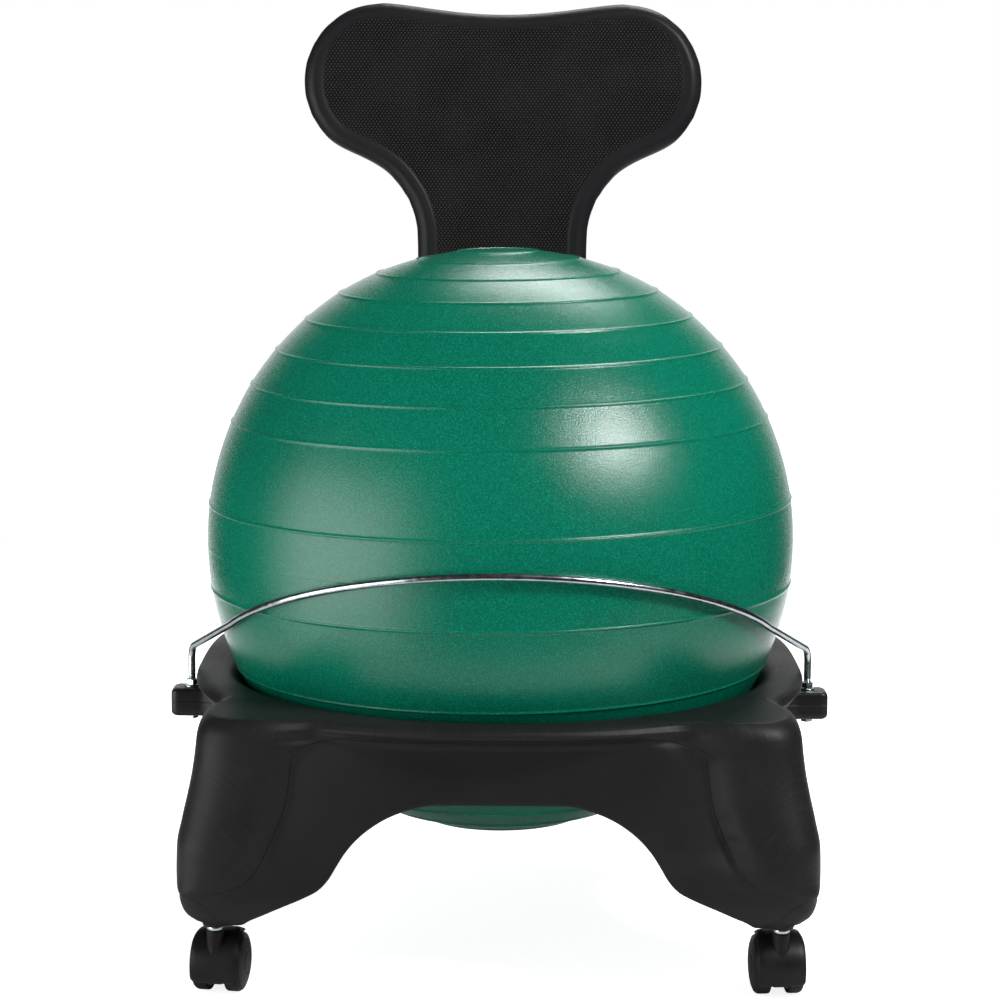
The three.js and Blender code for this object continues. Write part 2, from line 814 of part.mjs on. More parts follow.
// The hood is a band round the wheels, its side edges drawn in towards the top of the band.
function hoodSolid(rearAngle) {
	const shape = new THREE.Shape();
	shape.absarc(0, 0, hoodOuter, rearAngle, hoodFrontAngle, false);
	shape.absarc(0, 0, hoodInner, hoodFrontAngle, rearAngle, true);
	const width = 2 * hoodHalfWidth;
	const band = toSolid(sideways(prism(shape, width, arcSegments), width));
	const reach = hoodOuter + overrun;
	const slope = hoodEdgeTaper * (reach - hoodInner) / hoodThickness;
	const limits = turned([
		[0, -hoodHalfWidth],
		[hoodInner, -hoodHalfWidth],
		[reach, slope - hoodHalfWidth],
		[reach, hoodHalfWidth - slope],
		[hoodInner, hoodHalfWidth],
		[0, hoodHalfWidth],
	], webSides);
	return band.intersect(toSolid(limits.rotateY(Math.PI / 2)));
}

// Caster body: a round web between the wheels, cut flat underneath, a hood over both wheels and
// an upright barrel that holds the stem. A braked body has two lugs behind the hood.
const pinAngle = THREE.MathUtils.degToRad(58);
const brakedHoodRearAngle = THREE.MathUtils.degToRad(54);
const pinDistance = hoodOuter + leverStandOff;
const pinY = casterTrail + pinDistance * Math.cos(pinAngle);
const pinZ = wheelRadius + pinDistance * Math.sin(pinAngle);
const lugCentre = leverHubHalfWidth + gap + lugThickness / 2;
const pinHoleRadius = leverPinRadius + gap;

function lugSolid(side) {
	const reach = pinDistance + leverHubRadius;
	const shape = new THREE.Shape();
	shape.moveTo(hoodInner, -leverHubRadius);
	shape.lineTo(pinDistance, -leverHubRadius);
	shape.absarc(pinDistance, 0, reach - pinDistance, -Math.PI / 2, Math.PI / 2);
	shape.lineTo(hoodInner, leverHubRadius);
	const geometry = sideways(prism(shape, lugThickness, edgeSegments), lugThickness);
	geometry.rotateX(pinAngle);
	return toSolid(geometry.translate(side * lugCentre, casterTrail, wheelRadius));
}

function casterBodyGeometry(braked) {
	const web = cylinder(webRadius, -webHalfWidth, webHalfWidth, webSides).rotateY(Math.PI / 2);
	let solid = toSolid(web.translate(0, casterTrail, wheelRadius));
	const hood = hoodSolid(braked ? brakedHoodRearAngle : hoodRearAngle);
	solid = solid.add(hood.translate([0, casterTrail, wheelRadius]));
	solid = solid.add(toSolid(cylinder(barrelRadius, wheelRadius, barrelTopHeight, boreSides)));
	const cutHeight = webRadius;
	const cut = new THREE.BoxGeometry(4 * hoodHalfWidth, 4 * webRadius, cutHeight);
	solid = solid.subtract(toSolid(cut.translate(0, casterTrail, webBottomHeight - cutHeight / 2)));
	const axleBore = cylinder(axleRadius + gap, -wheelOuter, wheelOuter, boreSides).rotateY(Math.PI / 2);
	solid = solid.subtract(toSolid(axleBore.translate(0, casterTrail, wheelRadius)));
	const stemBottom = collarBottom - stemBelowCollar - gap;
	const stemBore = cylinder(stemRadius + gap, stemBottom, barrelTopHeight + overrun, boreSides);
	solid = solid.subtract(toSolid(stemBore));
	if (braked) {
		solid = solid.add(lugSolid(-1)).add(lugSolid(1));
		const pinBore = cylinder(pinHoleRadius, -wheelOuter, wheelOuter, boreSides).rotateY(Math.PI / 2);
		solid = solid.subtract(toSolid(pinBore.translate(0, pinY, pinZ)));
	}
	return toGeometry(solid.simplify(facetTolerance));
}

// Stem: a steel pin with a collar that sits on the barrel and a grip bulge inside the socket.
function stemGeometry() {
	const top = legBottomHeight + stemAboveLeg;
	const gripBottom = top - stemGripLength;
	return turned([
		[0, collarBottom - stemBelowCollar],
		[stemRadius, collarBottom - stemBelowCollar],
		[stemRadius, collarBottom],
		[collarRadius, collarBottom],
		[collarRadius, collarTop],
		[stemRadius, collarTop],
		[stemRadius, gripBottom - stemGripBulge],
		[stemGripRadius, gripBottom],
		[stemGripRadius, top - stemGripBulge],
		[stemRadius, top],
		[0, top],
	], boreSides);
}

function socketGeometry() {
	const bore = stemGripRadius + gap;
	const top = legBottomHeight + socketHoleDepth - gap;
	return turned([
		[bore, socketFlangeBottom],
		[socketFlangeRadius, socketFlangeBottom],
		[socketFlangeRadius, socketFlangeTop],
		[socketRadius, socketFlangeTop],
		[socketRadius, top],
		[bore, top],
		[bore, socketFlangeBottom],
	], boreSides);
}

const leverHookShare = 0.4;

// Brake lever: a hub between the lugs, a shoe above the treads and a pedal out behind.
function leverGeometry() {
	const hub = cylinder(leverHubRadius, -leverHubHalfWidth, leverHubHalfWidth, boreSides);
	hub.rotateY(Math.PI / 2);
	const half = leverThickness / 2;
	const hook = leverThickness * leverHookShare;
	const clear = leverHubRadius + 2 * gap;
	const bar = (outline, halfWidth) =>
		toSolid(sideways(prism(shapeOf(outline), 2 * halfWidth), 2 * halfWidth));
	const arm = bar([
		[0, -half],
		[clear + leverThickness, -half],
		[clear + leverThickness, half],
		[0, half],
	], leverHubHalfWidth);
	const pedal = bar([
		[clear, -half],
		[leverPedalLength, hook - half],
		[leverPedalLength + half, half],
		[leverPedalLength - half, half + hook],
		[clear, half],
	], leverPedalHalfWidth);
	const bore = cylinder(pinHoleRadius, -wheelOuter, wheelOuter, boreSides).rotateY(Math.PI / 2);
	const solid = toSolid(hub).add(arm).add(pedal).subtract(toSolid(bore));
	return toGeometry(solid).translate(0, pinY, pinZ);
}

for (const [name, signX, signY] of casterPlaces) {
	const braked = signY > 0;
	const caster = new THREE.Group();
	caster.position.set(signX * legStemOffset, signY * legStemOffset, 0);
	caster.rotation.z = THREE.MathUtils.degToRad(-casterTurns[name]);
	chair.add(caster);
	add(`${name}_socket`, socketGeometry(), materials.nylon, caster);
	add(`${name}_stem`, stemGeometry(), materials.zinc, caster);
	add(`${name}_caster_body`, casterBodyGeometry(braked), materials.nylon, caster);
	const axle = cylinder(axleRadius, -axleHalfLength, axleHalfLength, boreSides).rotateY(Math.PI / 2);
	add(`${name}_axle`, axle.translate(0, casterTrail, wheelRadius), materials.zinc, caster);
	add(`${name}_wheel_left`, wheelGeometry(-1), materials.tread, caster);
	add(`${name}_wheel_right`, wheelGeometry(1), materials.tread, caster);
	if (braked) {
		const pinHalf = lugCentre + lugThickness;
		const pin = cylinder(leverPinRadius, -pinHalf, pinHalf, boreSides).rotateY(Math.PI / 2);
		add(`${name}_brake_lever`, leverGeometry(), materials.nylon, caster);
		add(`${name}_brake_pin`, pin.translate(0, pinY, pinZ), materials.zinc, caster);
	}
}

// The origin goes to the floor under the middle of the whole chair.
chair.updateMatrixWorld(true);
const extent = new THREE.Box3().setFromObject(chair, true);
chair.position.set(0, -(extent.min.y + extent.max.y) / 2, 0);

export default chair;
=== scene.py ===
import math

import bpy
import numpy as np
from mathutils import Matrix, Vector


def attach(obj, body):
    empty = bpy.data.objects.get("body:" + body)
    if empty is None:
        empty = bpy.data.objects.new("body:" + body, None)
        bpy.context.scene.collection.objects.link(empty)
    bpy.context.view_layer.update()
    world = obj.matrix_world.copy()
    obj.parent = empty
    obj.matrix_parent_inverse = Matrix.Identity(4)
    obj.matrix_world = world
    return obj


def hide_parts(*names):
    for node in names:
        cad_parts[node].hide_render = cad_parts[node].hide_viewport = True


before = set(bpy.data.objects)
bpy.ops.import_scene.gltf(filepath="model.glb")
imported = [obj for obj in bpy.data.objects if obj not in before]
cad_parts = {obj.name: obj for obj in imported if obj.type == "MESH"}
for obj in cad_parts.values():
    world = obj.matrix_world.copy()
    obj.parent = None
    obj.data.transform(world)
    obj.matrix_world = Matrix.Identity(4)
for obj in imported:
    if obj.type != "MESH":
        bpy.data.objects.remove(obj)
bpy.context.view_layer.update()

# Base: one hollow piece of black polyethylene, blow moulded, with a round seat ring for the ball,
# an arch on each side and a raised shield on each leg. The parison leaves flow streaks on the
# rim and the legs, which are painted lighter as a sheen. The mould leaves a fine line under the
# rim and round the foot, and these lines and the edges of the shields are grooves painted dark
# as shade.
axis_y = -0.02329
foot_bottom = 0.0608
rim_height = 0.235
rim_foot = 0.208
rim_inner = 0.2467
rim_middle = 0.26
rim_dip = 0.0004
throat_radius = 0.1912
throat_bottom_gap = 0.0015
throat_top = 0.1697
edge_round = 0.0035
tongue_half = 0.0826
tongue_seat = 0.2615
tongue_foot = 0.172
skin_range = (0.15, 0.42)
blend_levels = (0.196, 0.222)
shield_power = 2.6
shield_blend = 0.022
shoulder_height = 0.2445
shoulder_slope = 0.14
shoulder_radius = 0.27
leg_blend = 0.005
rim_blend = 0.032
shield_foot_slope = 4
rim_weight = 0.3
leg_weight = 0.3

# Wall: height and half width in millimetres, squareness of the front and of the back.
wall_rows = np.array([
    (60.8, 238.0, 20, 20), (63.5, 247.9, 22, 22), (68.1, 254.3, 24, 24), (76.0, 260.8, 24, 24),
    (89.0, 264.1, 22, 22), (107.0, 260.8, 11, 11), (131.2, 254.3, 6.6, 6.6),
    (162.3, 249.8, 5.5, 5.5), (196.9, 247.1, 5, 5), (212.0, 248.0, 4.2, 4.8),
    (218.0, 252.0, 3.2, 4.2), (223.5, 263.0, 2.5, 3.8), (228.1, 269.6, 2.25, 3.7),
    (231.2, 268.8, 2.2, 3.6), (233.6, 265.0, 2.2, 3.5), (235.0, 259.0, 2.2, 3.5),
]) * [0.001, 0.001, 1, 1]
# Leg shield in millimetres: height, outer face, inner face.
leg_rows = np.array([
    (85.0, 250.5, 247.5), (90.5, 258.6, 239.0), (94.9, 263.4, 220.1), (100.9, 265.0, 198.5),
    (109.9, 265.4, 190.4), (129.0, 265.1, 185.8), (150.1, 261.4, 176.3), (168.9, 257.3, 168.8),
    (190.0, 253.3, 164.7), (218.6, 250.0, 162.0), (235.0, 249.0, 161.0),
]) / 1000
# Underside of the arch in millimetres: distance from the middle, height.
arch_rows = np.array([
    (0, 166), (54, 166), (66, 164.2), (78, 160.8), (90, 156), (103, 148.5), (115.5, 138.5),
    (125.7, 127), (132.3, 117), (138.8, 106.5), (147, 98), (159.3, 91.5), (176, 84),
    (191.5, 76.5), (203, 70.3), (214, 61.2), (220, 60.8), (300, 60.8),
]) / 1000


def curve_through(stations, values, where):
    """A smooth curve through the points (station, value): between two stations it is a cubic whose
    end slopes are the weighted harmonic means of the slopes on both sides, so it never overshoots.
    """
    stations, values = np.asarray(stations, float), np.asarray(values, float)
    step = np.diff(stations)
    chord = np.diff(values) / step
    before, after = chord[:-1], chord[1:]
    heavy, light = 2 * step[1:] + step[:-1], step[1:] + 2 * step[:-1]
    with np.errstate(divide="ignore", invalid="ignore"):
        mean = (heavy + light) / (heavy / before + light / after)
    mean = np.where(before * after <= 0, 0, mean)
    slope = np.concatenate([chord[:1], mean, chord[-1:]])
    place = np.clip(np.searchsorted(stations, where, side="right") - 1, 0, len(step) - 1)
    wide = step[place]
    t = np.clip((where - stations[place]) / wide, 0, 1)
    return (
        values[place] * (1 + 2 * t) * (1 - t) ** 2
        + values[place + 1] * t * t * (3 - 2 * t)
        + wide * t * (1 - t) * (slope[place] * (1 - t) - slope[place + 1] * t)
    )


def read_rows(rows, column, where):
    """One column of a table, read along its first column on a smooth curve."""
    return curve_through(rows[:, 0], rows[:, column], where)


def smooth_more(a, b, width):
    """The greater of a and b, rounded over where they differ by less than width."""
    return np.maximum(a, b) + width / 4 * np.maximum(0, 1 - np.abs(a - b) / width) ** 2


def ease(value, low, high):
    """0 below low, 1 above high, and the cubic 3t^2 - 2t^3 between them."""
    t = np.clip((value - low) / (high - low), 0, 1)
    return t * t * (3 - 2 * t)


def places(*axes):
    """Coordinates of a grid joined into its places, each spread over the whole grid."""
    return np.stack(np.broadcast_arrays(*axes), axis=-1)


def about_axis(radius, angle, height):
    """Places at a distance from the Z axis, an angle round it and a height."""
    return places(radius * np.cos(angle), radius * np.sin(angle), height)


def full_turn(count):
    """Equal steps of angle once round."""
    return np.arange(count) / count * 2 * np.pi


def quarter_turn(count):
    """Equal steps of angle from 0 to a right angle."""
    return np.linspace(0, np.pi / 2, count)


def bent(start, corner, end, t):
    """A bend from start to end that aims at the corner: their mean with the weights (1 - t)^2,
    2t(1 - t) and t^2."""
    return start * (1 - t) ** 2 + 2 * corner * t * (1 - t) + end * t * t


def length_along(steps):
    """The length from the start of a line to each of its points."""
    return np.concatenate([[0], np.cumsum(steps)])


def last_inside(near, far, halvings, is_inside):
    """The range in which is_inside stops being true, halved again and again."""
    for _ in range(halvings):
        middle = (near + far) / 2
        inside = is_inside(middle)
        near, far = np.where(inside, middle, near), np.where(inside, far, middle)
    return near, far


def underside(radius, angle):
    """Height of the underside: the higher of the two arches that cross below the seat."""
    across, along = np.abs(radius * np.cos(angle)), np.abs(radius * np.sin(angle))
    return np.maximum(read_rows(arch_rows, 1, across), read_rows(arch_rows, 1, along))


def skin_fields(radius, angle, height):
    """How far inside the wall, |x|^p + |y|^p = half^p, and inside the nearest leg shield a point
    lies. The shield is the same kind of square about its own middle, with a sloping shoulder, and
    ends at its lowest row.
    """
    x, y = np.abs(radius * np.cos(angle)), np.abs(radius * np.sin(angle))
    half, front, back = (read_rows(wall_rows, column, height) for column in (1, 2, 3))
    power = np.where(np.sin(angle) > 0, back, front)
    wall = half - (x ** power + y ** power) ** (1 / power)
    outer, inner = (read_rows(leg_rows, column, height) for column in (1, 2))
    middle, reach = (outer + inner) / 2, (outer - inner) / 2
    from_middle = np.abs(x - middle) ** shield_power + np.abs(y - middle) ** shield_power
    shoulder = shoulder_height - shoulder_slope * (radius - shoulder_radius) - height
    leg = -smooth_more(from_middle ** (1 / shield_power) - reach, -shoulder, shield_blend)
    return wall, leg - shield_foot_slope * np.maximum(0, leg_rows[0, 0] - height)


def skin_radius(angle, height):
    """Distance of the outer skin from the axis, where the smooth union of wall and shields ends."""
    near, far = (np.full(np.broadcast(angle, height).shape, reach) for reach in skin_range)
    blend = leg_blend + (rim_blend - leg_blend) * ease(height, *blend_levels)

    def inside(radius):
        """Whether the greater of the two fields, rounded over, is still above 0."""
        wall, leg = skin_fields(radius, angle, height)
        return smooth_more(wall, leg, blend) > 0

    return last_inside(near, far, 24, inside)[0]


def foot_edge(angle):
    """Height at which the outer skin meets the underside, between the foot and the arch's top."""
    low, high = np.full_like(angle, foot_bottom), np.full_like(angle, arch_rows[0, 1] + 0.0005)
    return sum(last_inside(
        low, high, 20, lambda height: height < underside(skin_radius(angle, height), angle)
    )) / 2


def even_angles(count):
    """Angles round the axis at equal steps along the lower edge and the rim together."""
    angle = np.linspace(0, 2 * np.pi, 2001)
    height = foot_edge(angle)
    edge = about_axis(skin_radius(angle, height), angle, height)
    edge_steps = np.linalg.norm(np.diff(edge, axis=0), axis=1)
    length = length_along(edge_steps + rim_weight * rim_middle * np.diff(angle))
    return np.interp(np.arange(count) / count * length[-1], length, angle)


def patch(grid, loop=False):
    """Corners and faces of a surface on a grid of rows and columns. The columns close round. The
    rows close round where loop is set, and else the first and last rows are closed with a fan
    about their middles. The faces are turned outwards by the sign of the volume they enclose."""
    rows, columns = grid.shape[:2]
    points = grid.reshape(-1, 3)
    i, j = np.arange(rows if loop else rows - 1)[:, None], np.arange(columns)
    a, b = i * columns + j, i * columns + (j + 1) % columns
    c, d = (i + 1) % rows * columns + (j + 1) % columns, (i + 1) % rows * columns + j
    quads = np.stack([a, b, c, d], axis=-1).reshape(-1, 4)
    fans = np.zeros((0, 3), int)
    if not loop:
        following, last, middle = np.roll(j, -1), (rows - 1) * columns, rows * columns
        fans = np.concatenate([
            places(following, j, middle), places(last + j, last + following, middle + 1),
        ])
        points = np.concatenate([points, [grid[0].mean(0), grid[-1].mean(0)]])
    triangles = np.concatenate([quads[:, [0, 1, 2]], quads[:, [0, 2, 3]], fans])
    p, q, r = (points[triangles[:, k]] for k in range(3))
    if np.einsum("ij,ij->", p, np.cross(q, r)) < 0:
        quads, fans = quads[:, ::-1], fans[:, ::-1]
    return points, quads, fans


def turned(profile, place=(0, 0, 0), sides=48, closed=False, axis="Z"):
    """A surface of revolution about a line through a place: each (radius, distance along the
    line) of the profile goes round in equal steps of angle."""
    radius, along = np.asarray(profile, float).T[:, :, None]
    first, second = radius * np.cos(full_turn(sides)), radius * np.sin(full_turn(sides))
    order = {"X": (along, first, second), "Y": (first, along, second), "Z": (first, second, along)}
    return patch(places(*order[axis]) + place, closed)


def put_in_scene(name, data):
    """An object for a mesh, a lamp or a camera, linked into the scene."""
    thing = bpy.data.objects.new(name, data)
    bpy.context.scene.collection.objects.link(thing)
    return thing


def make_piece(name, patches, body, finish, stands_for=(), sharp=35, fields=None):
    """One object from its patches, smooth but for edges sharper than the angle given, riding on a
    body. A finish is a slot and its material, and only its material is used; fields are numbers or
    vectors of the corners that the material reads."""
    corners, faces, start = [], [], 0
    for points, quads, fans in patches:
        corners.append(points)
        faces += (quads + start).tolist() + (fans + start).tolist()
        start += len(points)
    mesh = bpy.data.meshes.new(name)
    mesh.from_pydata(np.concatenate(corners), [], faces)
    mesh.validate()
    mesh.shade_smooth()
    mesh.set_sharp_from_angle(angle=math.radians(sharp))
    for field, values in (fields or {}).items():
        values = np.asarray(values, np.float32)
        kind, key = ("FLOAT_VECTOR", "vector") if values.ndim == 2 else ("FLOAT", "value")
        full = np.zeros((start,) + values.shape[1:], np.float32)
        full[:len(values)] = values
        mesh.attributes.new(field, kind, "POINT").data.foreach_set(key, full.ravel())
    slot, material = finish
    mesh.materials.append(material)
    piece = put_in_scene(name, mesh)
    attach(piece, body)
    if stands_for:
        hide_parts(*stands_for)


def colour(*levels):
    """The linear colour of red, green and blue levels from 0 to 255 on a screen; a single level
    gives a grey."""
    share = np.broadcast_to(levels, 3) / 255
    linear = np.where(share <= 0.04045, share / 12.92, ((share + 0.055) / 1.055) ** 2.4)
    return (*linear.tolist(), 1)


def new_finish(slot, base, roughness, specular=0.5, metallic=0.0, name=None):
    """A slot and its material, with the node tree and the surface shader, whose steady numbers
    are set on the shader itself."""
    material = bpy.data.materials.new(name or slot)
    material.use_nodes = True
    material.diffuse_color = base
    shader = material.node_tree.nodes["Principled BSDF"]
    shader.inputs["Base Color"].default_value = base
    shader.inputs["Roughness"].default_value = roughness
    shader.inputs["Specular IOR Level"].default_value = specular
    shader.inputs["Metallic"].default_value = metallic
    return (slot, material), material.node_tree, shader


def add_node(tree, kind, feeds=(), **settings):
    """A node with its settings; each feed is (input, value or the output that it takes)."""
    node = tree.nodes.new("ShaderNode" + kind)
    for key, value in settings.items():
        setattr(node, key, value)
    for place, value in feeds:
        if isinstance(value, bpy.types.NodeSocket):
            tree.links.new(value, node.inputs[place])
        else:
            node.inputs[place].default_value = value
    return node


def calculate(tree, operation, *values):
    """The result of one step of arithmetic on numbers or outputs."""
    return add_node(tree, "Math", enumerate(values), operation=operation).outputs[0]


def times(tree, *values):
    """The first value times the second, plus the third where there is one."""
    return calculate(tree, "MULTIPLY_ADD" if len(values) == 3 else "MULTIPLY", *values)


def ramp(tree, value, low, high, start=0.0, end=1.0):
    """A value carried smoothly from the range low to high into the range start to end."""
    feeds = [(0, value), (1, low), (2, high), (3, start), (4, end)]
    node = add_node(tree, "MapRange", feeds, interpolation_type="SMOOTHSTEP")
    return node.outputs[0]


def object_place(tree):
    """The place on the piece in its own frame."""
    return add_node(tree, "TexCoord").outputs["Object"]


def object_axis(tree, axis):
    """One coordinate of the place on the piece: 0 for X, 1 for Y, 2 for Z."""
    return add_node(tree, "SeparateXYZ", [(0, object_place(tree))]).outputs[axis]


def field_place(tree, field, scale):
    """A field of the piece's corners read as a place, stretched by a scale for each axis."""
    place = add_node(tree, "Attribute", attribute_name=field).outputs["Vector"]
    return add_node(tree, "Mapping", [("Vector", place), ("Scale", scale)]).outputs[0]


def field_value(tree, field):
    """A field of the piece's corners read as a number."""
    return add_node(tree, "Attribute", attribute_name=field).outputs["Fac"]


def noise(tree, scale, detail=3.0, rough=0.5, place=None):
    """Cloudy noise about 0.5 on the piece's own place or another; the scale is in cells per
    metre."""
    place = place or object_place(tree)
    feeds = [("Vector", place), ("Scale", scale), ("Detail", detail), ("Roughness", rough)]
    return add_node(tree, "TexNoise", feeds).outputs[0]


def blend_colours(tree, factor, first, second):
    """The first colour where the factor is 0 and the second where it is 1."""
    node = add_node(tree, "Mix", [(0, factor), (6, first), (7, second)], data_type="RGBA")
    return node.outputs[2]


def noisy_colour(tree, pattern, first, second, low=0.3, high=0.7):
    """A colour that drifts from the first to the second as a noise goes from low to high."""
    return blend_colours(tree, ramp(tree, pattern, low, high), first, second)


def noisy_value(tree, pattern, start, end):
    """A number that drifts from start to end with a noise."""
    return ramp(tree, pattern, 0.3, 0.7, start, end)


def dress(tree, shader, relief, distance, tint=None, gloss=None):
    """Raises the surface by a relief from 0 to 1 times a distance in metres, and feeds its colour
    and its roughness."""
    feeds = [("Height", relief), ("Distance", distance), ("Strength", 1.0)]
    bump = add_node(tree, "Bump", feeds).outputs[0]
    for output, place in ((bump, "Normal"), (tint, "Base Color"), (gloss, "Roughness")):
        if output is not None:
            tree.links.new(output, shader.inputs[place])


angles = even_angles(540)
edge_height = foot_edge(angles)
edge_radius = skin_radius(angles, edge_height)

# Each column of the base is one closed loop of (radius, height): up the throat and the seat, over
# the rim, down the skin, round the lower edge and back inwards along the underside.
seat_stations = [0, 0.16, 0.30, 0.74, 0.84, 0.92, 1.0]
seat_radii = [throat_radius, throat_radius, 0.2010, 0.2310, 0.2378, 0.2418, rim_inner]
seat_heights = [0.1600, throat_top, 0.1826, 0.2224, 0.2306, 0.2334, rim_height]
seat_rows = np.concatenate([np.linspace(0.16, 0.74, 14), np.linspace(0.76, 1, 12)])[:, None]
throat_share = np.linspace(0, 1, 8)[:-1, None]
throat_start = underside(throat_radius, angles) + throat_bottom_gap
throat = places(throat_radius, throat_start + throat_share * (throat_top - throat_start))
seat = places(curve_through(seat_stations, seat_radii, seat_rows) + 0 * angles,
              curve_through(seat_stations, seat_heights, seat_rows))

top_share = np.linspace(0, 1, 10)[1:-1, None]
top_radius = rim_inner + top_share * (skin_radius(angles, rim_height) - rim_inner)
rim_top = places(top_radius, rim_height - rim_dip * (1 - np.sin(np.pi * top_share)))

bead_heights = np.linspace(rim_foot, rim_height, 400)
side_steps = np.diff(skin_radius(0.0, bead_heights))
leg_steps = np.diff(skin_radius(np.pi / 4, bead_heights))
bead_steps = np.hypot(np.diff(bead_heights), side_steps) + leg_weight * np.abs(leg_steps)
bead_length = length_along(bead_steps)
bead_rows = np.interp(np.linspace(1, 0, 46) * bead_length[-1], bead_length, bead_heights)
skin_start = edge_height + edge_round
skin_share = np.linspace(1, 0, 50)[1:, None]
skin_heights = np.concatenate([
    bead_rows[:, None] + 0 * angles, skin_start + skin_share * (rim_foot - skin_start),
])
skin = places(skin_radius(angles, skin_heights), skin_heights)

inward_radius = edge_radius - edge_round
lower_edge = bent(skin[-1], places(edge_radius, edge_height),
                  places(inward_radius, underside(inward_radius, angles)),
                  np.linspace(0, 1, 7)[1:-1, None, None])
bottom_share = np.linspace(0, 1, 30)[:, None]
bottom_radius = inward_radius + bottom_share * (throat_radius + throat_bottom_gap - inward_radius)
bottom = places(bottom_radius, underside(bottom_radius, angles))

loop = np.concatenate([throat, seat, rim_top, skin, lower_edge, bottom])
turn = np.broadcast_to(angles, loop.shape[:2])
base_grid = about_axis(loop[..., 0], turn, loop[..., 1])

# At the back the tongue of the backrest has a flat seat cut into the rim.
in_tongue = (np.abs(base_grid[..., 0]) < tongue_half) & (base_grid[..., 1] > tongue_seat)
in_tongue &= base_grid[..., 2] > tongue_foot
base_grid[..., 1] = np.where(in_tongue, tongue_seat, base_grid[..., 1])

# Fields of the base: flow is the ring's direction and the length along the loop, slant runs down
# the legs, each mould line, a groove painted dark as shade, is a signed distance in millimetres
# with the share to which it is there, and the streaks, painted lighter as a sheen, fade in over
# the rim, the ring and the legs.
x_across, y_across, height = np.abs(base_grid[..., 0]), np.abs(base_grid[..., 1]), base_grid[..., 2]
along = np.zeros_like(height)
along[1:] = np.cumsum(np.linalg.norm(np.diff(base_grid, axis=0), axis=-1), axis=0)
side_across, both_across = np.minimum(x_across, y_across), x_across + y_across
row = np.arange(len(loop))[:, None]
outside = (row >= len(throat) + len(seat) + len(rim_top)) & (row < len(loop) - len(bottom))
wall_field, leg_field = skin_fields(loop[..., 0], turn, height)
on_shield = leg_field - wall_field
rim_line_height = curve_through([0, 0.05, 0.10, 0.143, 0.168, 0.180],
                                [0.2200, 0.2215, 0.2240, 0.2180, 0.2110, 0.2040], side_across)
foot_line_height = curve_through([0.200, 0.209, 0.220, 0.230, 0.238, 0.248, 0.264],
                                 [0.0690, 0.0680, 0.0678, 0.0742, 0.0830, 0.0890, 0.0945],
                                 side_across)
leg_line_foot, leg_line_top = (0.088, 0.094), (0.204, 0.210)
rim_line_end, foot_line_start = (0.171, 0.176), (0.206, 0.212)
rim_streaks, ring_streaks = (0.2185, 0.2225), (0.215, 0.229)
leg_streaks, leg_streak_top, leg_streak_fade = (0.002, 0.010), 0.222, 0.02
base_fields = {
    "flow": about_axis(rim_middle, turn, along).reshape(-1, 3),
    "slant": places(both_across - 0.7 * height, 0.7 * both_across + height, 0).reshape(-1, 3),
}
for name, distance, share in (
    ("leg_line", on_shield, ease(height, *leg_line_foot) * (1 - ease(height, *leg_line_top))),
    ("rim_line", height - rim_line_height, 1 - ease(side_across, *rim_line_end)),
    ("foot_line", height - foot_line_height, ease(side_across, *foot_line_start)),
):
    base_fields[name] = np.where(outside, distance * 1000, 9).ravel()
    base_fields[name + "_on"] = (share * outside).ravel()
on_leg = outside * ease(on_shield, *leg_streaks)
base_fields["on_leg"] = (on_leg * ease(leg_streak_top - height, 0, leg_streak_fade)).ravel()
base_fields["on_rim"] = (outside * ease(height, *rim_streaks)).ravel()
base_fields["on_ring"] = (~outside * ease(height, *ring_streaks)).ravel()
base_grid[..., 1] += axis_y

# Shallow bosses carry the caster sockets where the foot curves up.
stem_offset = 0.234
boss_profile = np.array([
    (0, 61), (9.4, 61), (9.9, 61.3), (10.3, 62.2), (10.6, 66), (11, 69), (11.8, 74), (10, 80),
]) / 1000
bosses = [
    turned(boss_profile, (x * stem_offset, y * stem_offset + axis_y, 0))
    for x in (-1, 1) for y in (-1, 1)
]

# Black blow-moulded plastic: a satin skin with a faint orange peel, flow streaks that are painted
# lighter as a sheen, and fine grooved lines that are painted dark as shade.
moulded, tree, shader = new_finish("black_blow_moulded", colour(28, 28, 29), 0.45, 0.24)
peel = noise(tree, 900, rough=0.6)
cloud = noise(tree, 14, rough=0.55)
streaks_and_sheen = line_grooves_and_shade = 0.0
for name, field, scale, rough in (
    ("on_rim", "flow", (900, 900, 34), 0.6), ("on_ring", "flow", (22, 22, 900), 0.6),
    ("on_leg", "slant", (760, 26, 1), 0.62),
):
    pattern = noise(tree, 1, rough=rough, place=field_place(tree, field, scale))
    streaks_and_sheen = times(tree, pattern, field_value(tree, name), streaks_and_sheen)
for name, half_width in (("leg_line", 0.8), ("rim_line", 0.6), ("foot_line", 0.9)):
    away = calculate(tree, "ABSOLUTE", field_value(tree, name))
    near = ramp(tree, away, 0.0, half_width, 1.0, 0.0)
    near = times(tree, near, field_value(tree, name + "_on"))
    line_grooves_and_shade = calculate(tree, "MAXIMUM", line_grooves_and_shade, near)
relief = times(tree, streaks_and_sheen, 1.7, times(tree, peel, 0.35))
relief = times(tree, line_grooves_and_shade, -2.4, relief)
# Painted sheen: the streaks are painted a lighter grey, as the light catching them on the bead.
painted_streak_sheen = times(tree, ramp(tree, streaks_and_sheen, 0.5, 0.75), 0.35)
tint = noisy_colour(tree, cloud, colour(27, 27, 28), colour(30, 30, 31))
tint = blend_colours(tree, painted_streak_sheen, tint, colour(52, 52, 54))
# Painted shade: the grooved lines are painted near black, as shade in their grooves.
tint = blend_colours(tree, times(tree, line_grooves_and_shade, 0.85), tint, colour(8))
gloss = times(tree, streaks_and_sheen, -0.10, noisy_value(tree, cloud, 0.50, 0.58))
dress(tree, shader, relief, 0.00012, tint, gloss)

make_piece("base_shell", [patch(base_grid, loop=True)] + bosses, "chair", moulded, ["base"], 50,
           base_fields)

